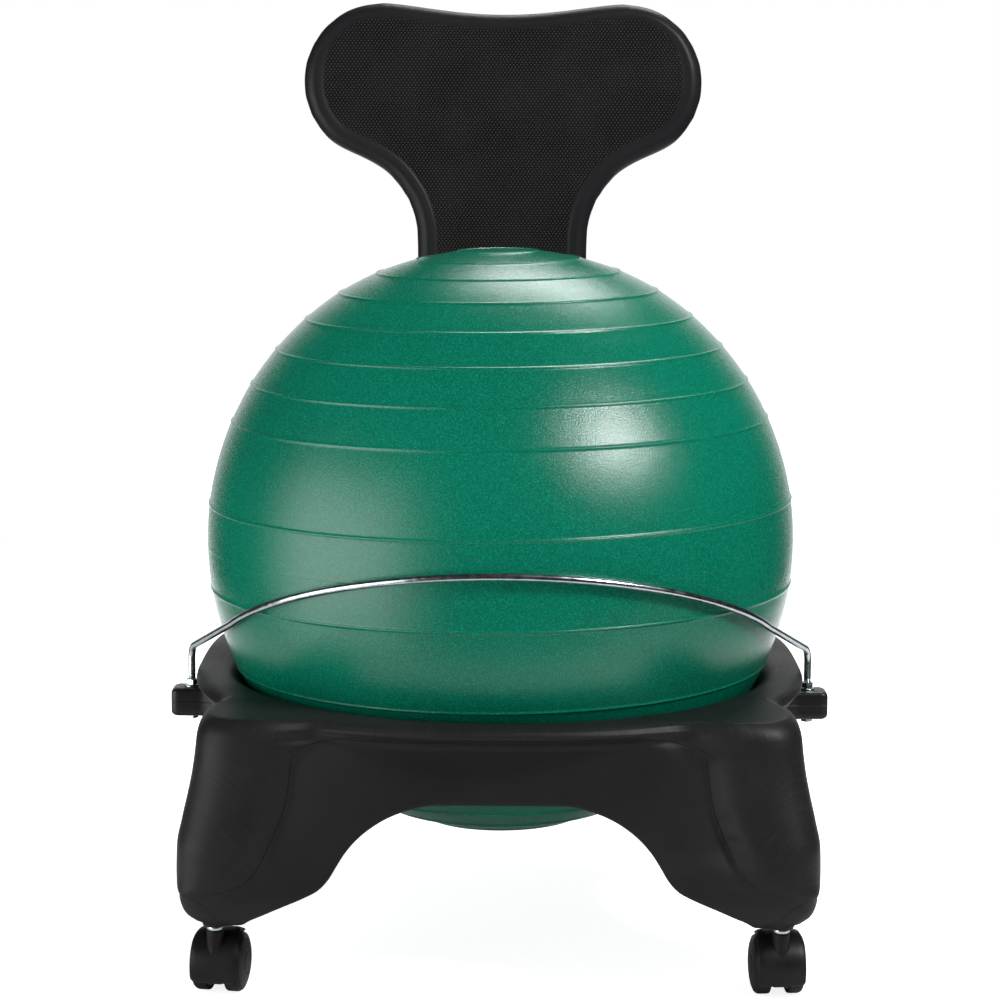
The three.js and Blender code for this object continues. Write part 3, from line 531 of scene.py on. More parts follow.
# Ears: two rounded blocks, moulded in one with the base, stand out of its sides and carry the
# feet of the retaining bar. They are glossier than the shell, with the mould's line round them.
both_sides = (("left", -1), ("right", 1))
ear_root = 0.238
ear_straight = 0.286
ear_reach = 0.293
ear_tip_round = 0.0065
ear_edge_round = 0.0036
ear_flare = 0.0085
flare_tall = 0.5
flare_down = 0.35
flare_end = 0.268
ear_squareness = 2 / 7
ear_middle = 0.2005
ear_half_height = 0.0127
ear_half_width = 0.0145
ear_seam_above = 0.0006
ear_seam_half = 0.0007
bar_foot_x = 0.2755
bar_foot_y = -0.008 + axis_y

ear_black, tree, shader = new_finish(
    "black_blow_moulded", colour(28, 28, 29), 0.34, 0.35, name="black_ear"
)
peel = noise(tree, 420, rough=0.6)
level = calculate(tree, "SUBTRACT", object_axis(tree, 2), ear_middle + ear_seam_above)
seam = ramp(tree, calculate(tree, "ABSOLUTE", level), 0.0, ear_seam_half, 1.0, 0.0)
relief = times(tree, seam, 1.6, times(tree, peel, 0.5))
tint = blend_colours(tree, seam, colour(28, 28, 29), colour(9))
dress(tree, shader, relief, 0.00014, tint, noisy_value(tree, peel, 0.30, 0.42))


def boxed(wave, power):
    """A sine or cosine with its size raised to a power below 1, which rounds off a square."""
    return np.sign(wave) * np.abs(wave) ** power


def ear_patch(side):
    """Rounded rectangles carried along X: flared where they leave the wall, and drawn in round a
    quarter circle at the tip."""
    quarter = quarter_turn(10)
    reach = np.concatenate([
        np.linspace(ear_root, ear_straight, 26), ear_reach - ear_tip_round * (1 - np.sin(quarter)),
    ])
    inset = np.concatenate([np.zeros(26), ear_edge_round * (1 - np.cos(quarter))])
    flare = ear_flare * (1 - ease(reach, ear_root + 0.002, flare_end))
    angle = full_turn(72)
    wide_half = (ear_half_width + flare - inset)[:, None]
    tall_half = (ear_half_height + flare_tall * flare - inset)[:, None]
    return patch(places(
        side * reach[:, None], bar_foot_y + wide_half * boxed(np.cos(angle), ear_squareness),
        ear_middle - flare_down * flare[:, None] + tall_half * boxed(np.sin(angle), ear_squareness),
    ))


for side_name, side in both_sides:
    make_piece(f"ear_{side_name}", [ear_patch(side)], "chair", ear_black)

# Rear pad: the flat on the back of the base that the tongue of the backrest is bolted to, with a
# raised lip round its sides and foot. It is part of the same moulding.
pad_half = 0.094
pad_foot = 0.166
pad_front = 0.232
pad_top = rim_height - 0.001
pad_corner = 0.008
lip_foot = 0.1719
lip_corner = 0.003
lip_top = rim_height - 0.0015
lip_front = 0.240
lip_back = 0.2695
# The pad's back edge: depth, and how far the outline is drawn in there.
pad_edge = np.array([
    (pad_front, 0), (0.258, 0), (0.2600, 0.0003), (0.2612, 0.0008), (0.2618, 0.0016),
    (0.2619, 0.0030),
])


def rounded_u(half, foot, top, corner_radius):
    """Right half to left half of a U: down one side, round the lower corners and up the other."""
    turn = quarter_turn(10)
    right = places(half - corner_radius * (1 - np.cos(turn)),
                   foot + corner_radius * (1 - np.sin(turn)))
    path = np.concatenate([[[half, top]], right])
    return np.concatenate([path, path[::-1] * [-1, 1]])


def drawn_in(outline, inset):
    """The outline once for each inset, each time drawn towards its middle by that length."""
    toward = outline.mean(0) - outline
    toward = toward / np.linalg.norm(toward, axis=1)[:, None]
    return outline + inset[:, None, None] * toward


def pad_patch():
    """The U outline filled and carried along Y, its back edge drawn in round a small radius."""
    outline = rounded_u(pad_half, pad_foot, pad_top, pad_corner)
    plan = drawn_in(outline, pad_edge[:, 1])
    return patch(places(plan[..., 0], pad_edge[:, :1] + axis_y, plan[..., 1]))


def lip_patch():
    """A bar of rounded rectangular section carried along the U, from the wall to the full depth
    of the rim."""
    outer = rounded_u(pad_half, pad_foot, lip_top, pad_corner)[:, None]
    inner = rounded_u(tongue_half, lip_foot, lip_top, lip_corner)[:, None]
    angle = full_turn(24)
    u, v = (0.5 + 0.5 * boxed(wave, 0.45) for wave in (np.cos(angle), np.sin(angle)))
    plan = inner + (outer - inner) * u[:, None]
    return patch(places(plan[..., 0], lip_front + (lip_back - lip_front) * v + axis_y,
                        plan[..., 1]))


make_piece("rear_pad", [pad_patch(), lip_patch()], "chair", ear_black)

# Ball: inflated green vinyl with a fine stipple. Moulded ridges ring it every 8.2 degrees, except
# on the plain bands beside the middle seam, and the skin between two ridges is drawn a little
# flat by the pressure. It leans very slightly in its seat.
ball_centre = np.array([0, axis_y, 0.349])
ball_radius = 0.260
ball_lean = math.radians(0.8)
ridge_step = math.radians(8.2)
ridges = np.array([-10, -9, -8, -7, -6, -5, -4, -3, -1, 1, 3, 4, 5, 6, 7, 8, 9, 10]) * ridge_step
ridge_width = 0.00115
ridge_tall = np.where(np.abs(ridges) < 1.5 * ridge_step, 0.0010, 0.0009)
seam_width = 0.0007
seam_tall = 0.00018
band_sag = 0.30
top_flattening = 0.0036
flat_from, flat_to = 0.95, 1.50


def ball_distance(latitude):
    """Distance of the skin from the centre: the radius, less the sag of a slightly drawn band
    between neighbouring ridges and of the flatter top, plus a narrow round ridge on each ring and
    a fine seam."""
    rings = np.concatenate([[-np.pi / 2], ridges, [np.pi / 2]])
    place = np.clip(np.searchsorted(rings, latitude) - 1, 0, len(rings) - 2)
    low, high = rings[place], rings[place + 1]
    share = (latitude - low) / (high - low)
    sag = band_sag * ball_radius * (1 - np.cos(np.minimum(high - low, ridge_step) / 2))
    distance = ball_radius - sag * 4 * share * (1 - share)
    away = np.abs(latitude[:, None] - ridges[None, :]) * ball_radius
    distance += (ridge_tall * np.exp(-(away / ridge_width) ** 2)).sum(1)
    distance -= top_flattening * ease(latitude, flat_from, flat_to)
    return distance + seam_tall * np.exp(-(latitude * ball_radius / seam_width) ** 2)


def leaning(points):
    """Points about the ball's centre turned about Y by its lean and set in the chair."""
    c, s = math.cos(ball_lean), math.sin(ball_lean)
    return points @ np.array([[c, 0, s], [0, 1, 0], [-s, 0, c]]) + ball_centre


# The skin ends at the valve hole below and in a small fan above; each ridge has rows of its own.
wide_rows = np.linspace(-np.pi / 2 + 0.0164, np.pi / 2 - 0.012, 170)
near_rows = (ridges[:, None] + np.linspace(-0.0028, 0.0028, 11)[None] / ball_radius).ravel()
seam_rows = np.linspace(-0.0016, 0.0016, 7) / ball_radius
latitudes = np.sort(np.concatenate([wide_rows, near_rows, seam_rows]))
latitudes = latitudes[np.concatenate([[True], np.diff(latitudes) > 0.0008])]
distance, slope = ball_distance(latitudes)[:, None], latitudes[:, None]
ball_grid = about_axis(distance * np.cos(slope), full_turn(216), distance * np.sin(slope))

vinyl, tree, shader = new_finish("green_vinyl", colour(0, 112, 87), 0.18, 0.58)
grain = noise(tree, 1900, 2, 0.6)
pebble_and_sparkle = noise(tree, 900, 2)
cloud = noise(tree, 5)
tint = noisy_colour(tree, cloud, colour(0, 98, 75), colour(0, 106, 82), 0.35, 0.65)
# Painted sparkle: the raised stipple grains are painted a lighter, greyer green, as if glinting.
tint = blend_colours(
    tree, ramp(tree, pebble_and_sparkle, 0.46, 0.66, 0.0, 0.75), tint, colour(14, 142, 113)
)
relief = times(tree, grain, 0.5, pebble_and_sparkle)
dress(tree, shader, relief, 0.00020, tint, noisy_value(tree, grain, 0.16, 0.22))

make_piece("ball_skin", [patch(leaning(ball_grid))], "ball", vinyl, ["ball"], 60)

# Air plug: white, soft plastic, moulded with a flat head and a tapered shank, and pushed up into
# the valve hole at the lowest point of the ball.
plug_top = -0.2608
plug_profile = np.array([
    (0, -1.8), (2.0, -1.8), (2.4, -1.5), (5.5, -1.5), (6.6, -1.1), (6.9, -0.5), (6.6, -0.1),
    (3.7, 0), (3.6, 4), (3.0, 13.5), (2.2, 14), (0, 14),
]) / 1000 + [0, plug_top]

plug_white, tree, shader = new_finish("white_plug", colour(232, 232, 226), 0.45, 0.4)
speckle = noise(tree, 900, 2)
dress(tree, shader, speckle, 0.00006, gloss=noisy_value(tree, speckle, 0.40, 0.52))
points, quads, fans = turned(plug_profile)
make_piece("air_plug", [(leaning(points), quads, fans)], "ball", plug_white, ["ball_plug"])

# Retaining bar: a 6.4 mm steel rod, zinc plated and clear passivated. Its threaded feet stand in
# the ears between nuts, and it crosses the front of the ball in a flat arch.
bar_radius = 0.0032
bar_bottom = 0.1835
bar_corner = 0.249
bar_bend = 0.011
bar_distance = 0.2657
bar_rise = 0.0105
bar_fall = 0.127
bar_arc_end = math.radians(62)
bar_sides = 20
thread_pitch = 0.00095
thread_depth = 0.00022
thread_top = 0.221
thread_fade = 0.0025
thread_beyond = 0.27
end_bevel = 0.0007
nut_across = 0.010
nut_bore = 0.0034
nut_turns = {"left": 0.22, "right": -0.15}
nuts = {"top": (0.005, 0.2148), "lower": (0.0034, 0.1843)}
cone_share = 0.97
cone_slope = math.radians(30)
washer_radius = 0.0066
washer_thick = 0.0012
washer_level = 0.2133


def bar_arc(angle):
    """Points on a ball a little larger than the real one: the angle goes round in plan, and the
    height falls by the cosine of the angle."""
    rise = bar_rise - bar_fall * (1 - np.cos(angle))
    plan = np.sqrt(bar_distance ** 2 - rise ** 2)
    return places(plan * np.sin(angle), -plan * np.cos(angle), rise) + ball_centre


def bar_path():
    """Half the rod from its foot to the middle of the front, then its mirror image."""
    corner = np.array([bar_foot_x, bar_foot_y, bar_corner])
    foot = corner * [1, 1, 0] + [0, 0, bar_bottom]
    arc = bar_arc(np.linspace(bar_arc_end, 0, 90))
    away = (arc[0] - corner) / np.linalg.norm(arc[0] - corner)
    start, end = corner - [0, 0, bar_bend], corner + away * bar_bend
    upright = foot + np.linspace(0, 1, 170)[:-1, None] * (start - foot)
    bend = bent(start, corner, end, np.linspace(0, 1, 14)[:, None])
    slope = end + np.linspace(0, 1, 24)[1:-1, None] * (arc[0] - end)
    half = np.concatenate([upright, bend, slope, arc])
    return np.concatenate([half, half[-2::-1] * [-1, 1, 1]])


def carried(path, section_radius):
    """A round section carried along a path without twist: at each point the last side direction
    is made square to the new direction. The radius changes from point to point and side to side.
    """
    tangent = np.gradient(path, axis=0)
    tangent /= np.linalg.norm(tangent, axis=1)[:, None]
    side = np.zeros_like(path)
    last = np.array([0.0, 1.0, 0.0])
    for row, direction in enumerate(tangent):
        last = last - direction * np.dot(last, direction)
        last = last / np.linalg.norm(last)
        side[row] = last
    up = np.cross(tangent, side)
    angle = full_turn(section_radius.shape[1])[:, None]
    offset = side[:, None] * np.cos(angle) + up[:, None] * np.sin(angle)
    return patch(path[:, None] + offset * section_radius[..., None])


rod_path = bar_path()
rod_x, rod_z = np.abs(rod_path[:, 0]), rod_path[:, 2]
thread = np.sin(rod_z[:, None] / thread_pitch * 2 * np.pi + full_turn(bar_sides))
threaded = (1 - ease(rod_z, thread_top, thread_top + thread_fade)) * (rod_x > thread_beyond)
rod_radius = bar_radius - thread_depth * threaded[:, None] * (1 - thread)
from_end = np.minimum(np.arange(len(rod_path)), np.arange(len(rod_path))[::-1])
rod_radius = rod_radius - end_bevel * (1 - ease(from_end, 0, 3))[:, None]

zinc, tree, shader = new_finish("zinc_plated_steel", (0.62, 0.68, 0.72, 1), 0.24, metallic=1.0)
mottle = noise(tree, 160, rough=0.55)
tint = noisy_colour(tree, mottle, (0.50, 0.57, 0.62, 1), (0.70, 0.76, 0.79, 1), 0.35, 0.65)
dress(tree, shader, noise(tree, 1500, 2), 0.000004, tint, noisy_value(tree, mottle, 0.17, 0.26))
make_piece("bar_rod", [carried(rod_path, rod_radius)], "chair", zinc, ["retaining_bar"], 60)


def washer_profile(outer, bore, thickness):
    """Closed (radius, height) loop of a stamped washer: rounded above, a sharp burr below."""
    soft = thickness * 0.35
    return np.array([
        (bore, 0), (outer - 0.0001, 0), (outer, 0.0001), (outer, thickness - soft),
        (outer - soft * 0.4, thickness - soft * 0.3), (outer - soft, thickness),
        (bore + soft, thickness), (bore, thickness - soft * 0.6),
    ])


def hexagonal(across, height, bore, soft=0.0003):
    """A nut as a closed loop carried round: the corners of the hexagon are cut at both ends by a
    cone that starts inside the flats."""
    angle = full_turn(72)
    folded = (angle + np.pi / 6) % (np.pi / 3) - np.pi / 6
    edge = across / 2 / np.cos(folded)
    cone = across / 2 * cone_share
    fall = (edge - cone) * math.tan(cone_slope)
    loop = [
        (bore, soft), (bore + soft, 0), (cone, 0), (edge, fall), (edge, height - fall),
        (cone, height), (bore + soft, height), (bore, height - soft),
    ]
    return np.stack([about_axis(radius, angle, level) for radius, level in loop])


def spin_about_z(angle):
    """The matrix that turns rows of places about Z, from X towards Y."""
    c, s = math.cos(angle), math.sin(angle)
    return np.array([[c, s, 0], [-s, c, 0], [0, 0, 1]])


for side_name, side in both_sides:
    foot = np.array([side * bar_foot_x, bar_foot_y, 0])
    washer = turned(washer_profile(washer_radius, nut_bore, washer_thick),
                    foot + [0, 0, washer_level], closed=True)
    make_piece(f"ear_washer_{side_name}", [washer], "chair", zinc, [f"bar_washer_{side_name}"])
    for place, (tall, level) in nuts.items():
        nut = hexagonal(nut_across, tall, nut_bore) @ spin_about_z(nut_turns[side_name])
        make_piece(f"ear_{place}_nut_{side_name}", [patch(nut + foot + [0, 0, level], loop=True)],
                   "chair", zinc, [f"bar_{place}_nut_{side_name}"], 25)

# Backrest: a T-shaped plate of moulded black plastic with a smooth rolled border round a slightly
# sunk field of fine raised dots. Its tongue goes down behind the ball to the rear pad.
back_foot = 0.1723
back_top = 0.8236
back_thickness = 0.026
back_front = 0.2623 + axis_y
front_round = 0.0150
rear_round = 0.0095
lean_at_top = 0.0290
lean_start = 0.3
lean_power = 1.5
lean_end = 0.825
looked_from = 2.79
tongue_top = 0.56
top_round = 0.0316
top_dip = 0.0106
dip_start = 0.64
dip_power = 1.6
roll_height = 0.0016
border_height = 0.0009
border_foot = 0.0165
border_edge = 0.0192
roll_rise = (0.008, 0.0175)
top_narrowing = 0.40
narrowing_rise = (0.750, 0.800)
rear_hollow = 0.0012
hollow_rise = (0.016, 0.022)
dot_across = 0.0034
dot_up = 0.0050
# Outline in millimetres: height, half width as it looks from the front.
back_rows = np.array([
    (172.3, 81.6), (580, 81.6), (606, 82.3), (611.5, 83.2), (617, 84.3), (623, 86.1), (629, 88.4),
    (635, 90.8), (640, 94.2), (646, 98), (652, 102.9), (658, 108.2), (663.5, 114.9),
    (669, 123.5), (675, 135.1), (681, 148.5), (686.5, 159), (692, 166.5), (698, 172.2),
    (704, 176.8), (709.5, 180.2), (715, 183.6), (721, 185.8), (727, 187.8), (732, 189.3),
    (738, 190.3), (749, 190.8), (761, 189.7), (767, 188.5), (772, 186.7), (778, 184.3),
    (784, 181.6), (789, 178.4), (795, 174.5), (801, 169.2), (806, 163.4), (812, 155.7),
    (818, 144), (821.8, 130), (823.6, 115),
]) / 1000


def back_lean(height):
    """How far the plate leans back: nothing up to the ball's middle, then a smooth curve."""
    share = ((height - back_foot) / (lean_end - back_foot) - lean_start) / (1 - lean_start)
    return lean_at_top * np.clip(share, 0, 1) ** lean_power


def back_half(height):
    """Half the real width: the width that it seems to have, and more the farther it is away."""
    nearer = 1 + (back_lean(height) + back_thickness / 2) / looked_from
    return read_rows(back_rows, 1, height) * nearer


def back_level(end_height, across):
    """Height along one row: its ends stand on the outline and its middle dips, the more the
    nearer the row is to the top edge."""
    dip = top_dip * ease(end_height, dip_start, back_top)
    return end_height - dip * np.maximum(0, 1 - across ** 2) ** dip_power


def half_depth(distance, round_to):
    """Half the plate's thickness near its edge: a quarter ellipse that is square to the edge."""
    share = np.clip(1 - distance / round_to, 0, 1)
    return back_thickness / 2 * np.sqrt(1 - share ** 2)


def joined_top(sheet, columns):
    """The closed plate: the fan on its last row goes, and that row's corners at the back, which
    lie on those at the front, give way to them."""
    points, quads, fans = sheet
    first_back = len(points) - columns
    quads = np.where(quads >= first_back, 2 * first_back - quads - 2, quads)
    fans = fans[:len(fans) // 2]
    fans = np.where(fans == len(points) - 2, first_back, fans)
    return np.concatenate([points[:first_back], points[-2:-1]]), quads, fans


row_ends = np.concatenate([
    np.linspace(back_foot, tongue_top, 30)[:-1],
    np.linspace(tongue_top, back_top - top_round, 100)[:-1],
    back_top - top_round * (1 - np.sin(quarter_turn(34))),
])[:, None]
across = np.sin(np.linspace(-np.pi / 2, np.pi / 2, 171))
row_half = back_half(row_ends)
plan_x = row_half * across
plan_z = back_level(row_ends, across)

# Distance of each point of the plate from its outline, leaving out the foot.
edge_z = np.concatenate([row_ends[:, 0], plan_z[-1][1:-1], row_ends[::-1, 0]])
edge_x = np.concatenate([-row_half[:, 0], plan_x[-1][1:-1], row_half[::-1, 0]])
corner_numbers = np.arange(len(edge_x))
fine_t = np.linspace(0, len(edge_x) - 1, 1400)
edge_points = places(np.interp(fine_t, corner_numbers, edge_x),
                     np.interp(fine_t, corner_numbers, edge_z))
first, span = edge_points[:-1], np.diff(edge_points, axis=0)
plate = places(plan_x, plan_z)[..., None, :]
from_edge = np.full(plan_x.shape, 1.0)
for start in range(0, len(span), 60):
    a, d = first[start:start + 60], span[start:start + 60]
    t = ((plate - a) * d).sum(-1) / np.maximum((d * d).sum(-1), 1e-14)
    gap = plate - a - np.clip(t, 0, 1)[..., None] * d
    from_edge = np.minimum(from_edge, np.sqrt((gap ** 2).sum(-1)).min(-1))
from_edge[:, 0] = from_edge[:, -1] = from_edge[-1] = 0

# The border is narrower along the top edge than down the sides.
border = from_edge * (1 + top_narrowing * ease(plan_z, *narrowing_rise))
middle_y = back_front + back_thickness / 2 + back_lean(plan_z)
roll = roll_height * ease(border, *roll_rise)
roll += border_height * ease(border, border_foot, border_edge)
front_y = middle_y - half_depth(from_edge, front_round) + roll
back_y = middle_y + half_depth(from_edge, rear_round) - rear_hollow * ease(from_edge, *hollow_rise)
front_sheet = places(plan_x, front_y, plan_z)
back_sheet = places(plan_x, back_y, plan_z)[:, ::-1]
back_grid = np.concatenate([front_sheet, back_sheet[:, 1:-1]], axis=1)
in_field = np.concatenate([border, np.zeros_like(border)[:, 1:-1]], axis=1)

plate_black, tree, shader = new_finish("black_backrest", colour(22, 22, 23), 0.38, 0.2)
lattice = times(tree, *(
    calculate(tree, "COSINE", times(tree, object_axis(tree, axis), 2 * math.pi / step))
    for axis, step in ((0, dot_across), (2, dot_up))
))
on_field = ramp(tree, field_value(tree, "from_edge"), border_edge * 1000, 20.4)
dots_and_glints = times(tree, ramp(tree, lattice, 0.30, 0.85), on_field)
peel = noise(tree, 1100, rough=0.6)
cloud = noise(tree, 18)
tint = noisy_colour(tree, cloud, colour(16, 16, 17), colour(20, 20, 21))
# Painted sheen: the rolled border is painted a lighter grey than the field, as the light it
# catches.
tint = blend_colours(tree, on_field, colour(31, 31, 33), tint)
# Painted glints: the raised dots are painted a light warm grey, as the light catching their tops.
tint = blend_colours(tree, dots_and_glints, tint, colour(63, 61, 58))
relief = times(tree, peel, 0.12, dots_and_glints)
dress(tree, shader, relief, 0.0005, tint, noisy_value(tree, cloud, 0.38, 0.46))
make_piece("back_plate", [joined_top(patch(back_grid), len(across))], "chair", plate_black,
           ["backrest"], 60, {"from_edge": in_field.ravel()[:1 - len(across)] * 1000})

# Backrest bolts: two zinc plated hexagon screws with washers, behind the tongue, run forward into
# brass inserts that are moulded into the rear pad.
bolt_level = 0.199
bolt_x = 0.045
head_front = 0.2903 + axis_y
head_across = 0.013
head_tall = 0.0053
head_dish = 0.0003
dish_share = 0.55
bolt_washer = washer_profile(0.009, 0.0043, 0.0014) + [0, 0.2886]
shank = np.array([(0, 242.7), (3.2, 242.7), (4, 243.6), (4, 291), (0, 291)]) / 1000
sleeve = np.array([
    (4.3, 238.2), (6.2, 238.2), (6.5, 238.6), (6.5, 248), (5.8, 248.6), (5.8, 251.4), (6.5, 252),
    (6.5, 261.4), (6.2, 261.8), (4.6, 261.8), (4.3, 261.4),
]) / 1000

brass, tree, shader = new_finish("brass", (0.72, 0.50, 0.20, 1), 0.32, metallic=1.0)
speckle = noise(tree, 1400, 2)
tint = noisy_colour(tree, speckle, (0.62, 0.42, 0.16, 1), (0.78, 0.56, 0.24, 1))
dress(tree, shader, speckle, 0.00003, tint)

for side_name, side in both_sides:
    spot = np.array([side * bolt_x, axis_y, bolt_level])
    head = hexagonal(head_across, head_tall, head_dish)
    dish = head[5] * [dish_share, dish_share, 1] - [0, 0, head_dish]
    head = np.concatenate([head[1:6], dish[None]])
    standing = places(head[..., 0] + spot[0], head[..., 2] + head_front, spot[2] - head[..., 1])
    for name, patches, finish, node in (
        ("bolt", [patch(standing), turned(shank, spot, 32, axis="Y")], zinc, "backrest_bolt"),
        ("bolt_washer", [turned(bolt_washer, spot, closed=True, axis="Y")], zinc,
         "backrest_washer"),
        ("insert", [turned(sleeve, spot, closed=True, axis="Y")], brass, "backrest_insert"),
    ):
        make_piece(f"{name}_{side_name}", patches, "chair", finish, [f"{node}_{side_name}"], 25)

# Casters: twin-wheel swivel casters of black nylon. A round web with a hood over both wheels and
# an upright barrel turns on a plated stem, whose bright collar shows under the leg; the stem grips
# in a sleeve that is pushed into the foot of the leg.
trail = 0.018
wheel_radius = 0.025
wheel_sides = 96
tread_start = 0.0243
web_radius = 0.0270
web_half = 0.0070
web_round = 0.0016
web_cut = 0.0112
hood_inner = 0.0264
hood_outer = 0.0288
hood_half = 0.0198
hood_waist = 0.0028
waist_from, waist_to = math.radians(75), math.radians(135)
hood_crown = 0.0055
hood_draw = 0.0024
hood_draw_reach = 0.0040
hood_thinning = 0.94
hood_thin_reach = 0.0015
crown_start = 0.55
hood_lowest = 206.2
hood_end_round = 3.2
barrel_spread = 0.0010
spread_levels = (0.034, 0.046)
spread_beyond = 0.0069
pin_slope = math.radians(58)
pin_reach = 0.0334
pin_y = trail + pin_reach * math.cos(pin_slope)
pin_z = wheel_radius + pin_reach * math.sin(pin_slope)
lug_radius = 0.0036
lug_thick = 0.0030
lug_lefts = (-0.0103, 0.0073)
# The side, the end and the turn about the stem, in degrees, of each caster. Its hood begins
# behind at an angle in degrees that depends on the end, because the rear ones leave room for a
# lever.
corners = {
    "front_left": (-1, -1, 10), "front_right": (1, -1, -5),
    "rear_left": (-1, 1, 24), "rear_right": (1, 1, -31),
}
hood_rear = {-1: 50, 1: 54}

nylon, tree, shader = new_finish("black_nylon", colour(23, 23, 24), 0.42, 0.19)
cloud = noise(tree, 60)
tint = noisy_colour(tree, cloud, colour(22, 22, 23), colour(27, 27, 28))
dress(tree, shader, noise(tree, 1300, rough=0.6), 0.00006, tint,
      noisy_value(tree, cloud, 0.36, 0.48))

# Wheel material: fine turned rings on the side, a duller, lightly scuffed tread.
tread, tree, shader = new_finish("dark_tread", colour(23, 23, 24), 0.5, 0.18)
rings = noise(tree, 1, 2, place=field_place(tree, "disc", (2600, 6, 6)))
scuffs = noise(tree, 1, rough=0.6, place=field_place(tree, "disc", (60, 240, 900)))
on_tread = ramp(tree, field_value(tree, "on_tread"), 0.2, 0.8)
tint = noisy_colour(tree, scuffs, colour(22, 22, 23), colour(29), 0.35, 0.75)
gloss = times(tree, on_tread, 0.16, 0.40)
dress(tree, shader, blend_colours(tree, on_tread, rings, scuffs), 0.00006, tint, gloss)

# Half of a wheel's section in millimetres: radius and distance from the caster's middle, from the
# blind end of the bore over the inner face, the tread and the side with its groove and cap.
wheel_section = np.array([
    (0.0, 18.3), (3.1, 18.3), (3.3, 18.1), (3.3, 8.0), (3.6, 7.7), (6.6, 7.6), (6.9, 7.9),
    (7.1, 8.6), (20.4, 8.6), (20.7, 8.2), (21.0, 7.7), (24.0, 7.6), (24.6, 7.9), (24.9, 8.6),
    (25.0, 9.6), (25.0, 15.8), (24.9, 16.8), (24.6, 17.7), (24.1, 18.6), (23.4, 19.4),
    (22.9, 19.7), (22.7, 19.6), (22.5, 19.2), (22.2, 19.2), (22.0, 19.7), (21.7, 20.2),
    (20.0, 20.9), (17.0, 21.6), (13.5, 22.1), (10.4, 22.4), (10.0, 22.3), (9.8, 22.0),
    (9.5, 22.0), (9.3, 22.35), (9.0, 22.5), (6.0, 22.7), (3.0, 22.8), (0.0, 22.8),
]) / 1000
# Radius and height in millimetres of the barrel with its bore, the stem and its sleeve in the leg.
barrel_section = np.array(
    [(7.0, level) for level in (26, 31, 36, 39, 42, 45, 48, 52, 55.8)]
    + [(6.9, 56.5), (6.6, 57.0), (6.2, 57.2), (4.8, 57.2), (4.4, 56.9), (4.3, 56.4), (4.3, 31.3),
       (4.0, 31.1), (0.4, 31.1), (0.4, 26.0)]
) / 1000
stem_section = np.array([
    (0.0, 31.5), (3.4, 31.5), (4.0, 32.1), (4.0, 57.4), (6.4, 57.5), (6.75, 57.65), (6.9, 58.0),
    (6.9, 60.0), (6.7, 60.4), (6.3, 60.6), (4.3, 60.6), (4.0, 60.8), (4.0, 85.8), (4.3, 86.4),
    (4.9, 87.0), (5.0, 87.4), (5.0, 90.6), (4.9, 91.0), (4.2, 91.8), (3.4, 92.0), (0.0, 92.0),
]) / 1000
sleeve_section = np.array([
    (5.3, 61.2), (5.6, 60.9), (8.3, 60.9), (8.55, 61.0), (8.6, 61.2), (8.5, 61.6), (8.2, 61.7),
    (6.9, 61.8), (6.8, 62.1), (6.8, 102.6), (6.6, 103.4), (6.2, 103.7), (5.6, 103.7), (5.3, 103.4),
]) / 1000


def make_caster_piece(name, piece, body, finish, node, *shapes, sharp=40, fields=None):
    """A piece of one caster: its patches are made on the caster's own stem axis, then turned about
    it and set under the leg."""
    side, end, turn_angle = corners[name]
    place = [side * stem_offset, end * stem_offset + axis_y, 0]
    spin = spin_about_z(-math.radians(turn_angle))
    patches = [(points @ spin + place, quads, fans) for points, quads, fans in shapes]
    make_piece(f"{name}_{piece}", patches, body, finish, [f"{name}_{node}"], sharp, fields)


def round_ends(low, high, soft, count):
    """Stations from low to high and the inset at each: both ends go round a quarter circle."""
    fall, rise = (1 - wave(quarter_turn(count)) for wave in (np.sin, np.cos))
    stations = np.concatenate([low + soft * rise, high - soft * fall])
    return stations[:, None], soft * np.concatenate([fall, rise])


def pin_profile(radius, half, bevel, step):
    """(radius, distance) of a pin with both ends bevelled."""
    end = np.array([(0, half), (radius - bevel, half), (radius, half - step)])
    return np.concatenate([end * [1, -1], end[::-1]])


def web_patch():
    """The round web between the wheels: its outline is a circle cut flat underneath, drawn in
    round a quarter circle towards both faces."""
    angle = full_turn(120)
    down = np.maximum(1e-6, -np.sin(angle))
    outline = np.minimum(web_radius, (wheel_radius - web_cut) / down)
    across, inset = round_ends(-web_half, web_half, web_round, 7)
    reach = outline - inset[:, None]
    return patch(places(across, reach * np.cos(angle) + trail,
                        reach * np.sin(angle) + wheel_radius))


def hood_patch(rear_angle):
    """A flat band of rounded section bent over the wheels, from low at the front to an angle at
    the back. The band is slightly crowned, narrows towards the back and thins out where it ends.
    """
    quarter = quarter_turn(6)
    rear, front = rear_angle + hood_end_round, hood_lowest - hood_end_round
    sweep = np.radians(np.concatenate([
        rear - hood_end_round * np.cos(quarter[:-1]), np.linspace(rear, front, 60),
        front + hood_end_round * np.sin(quarter[1:]),
    ]))[:, None]
    middle, half_thick = (hood_inner + hood_outer) / 2, (hood_outer - hood_inner) / 2
    from_end = np.minimum(sweep - sweep[0], sweep[-1] - sweep) * middle
    thin = np.sqrt(1 - hood_thinning * np.clip(1 - from_end / hood_thin_reach, 0, 1) ** 2)
    u, v = boxed(np.cos(full_turn(44)), 0.18), boxed(np.sin(full_turn(44)), 0.5)
    crown = hood_crown * np.maximum(0, np.abs(u) - crown_start) ** 2
    radius = middle + half_thick * thin * v - crown * (v > 0)
    half = hood_half - hood_draw * np.clip(1 - from_end / hood_draw_reach, 0, 1) ** 2
    half = half - hood_waist * (1 - ease(sweep, waist_from, waist_to))
    return patch(places(half * u, radius * np.cos(sweep) + trail,
                        radius * np.sin(sweep) + wheel_radius))


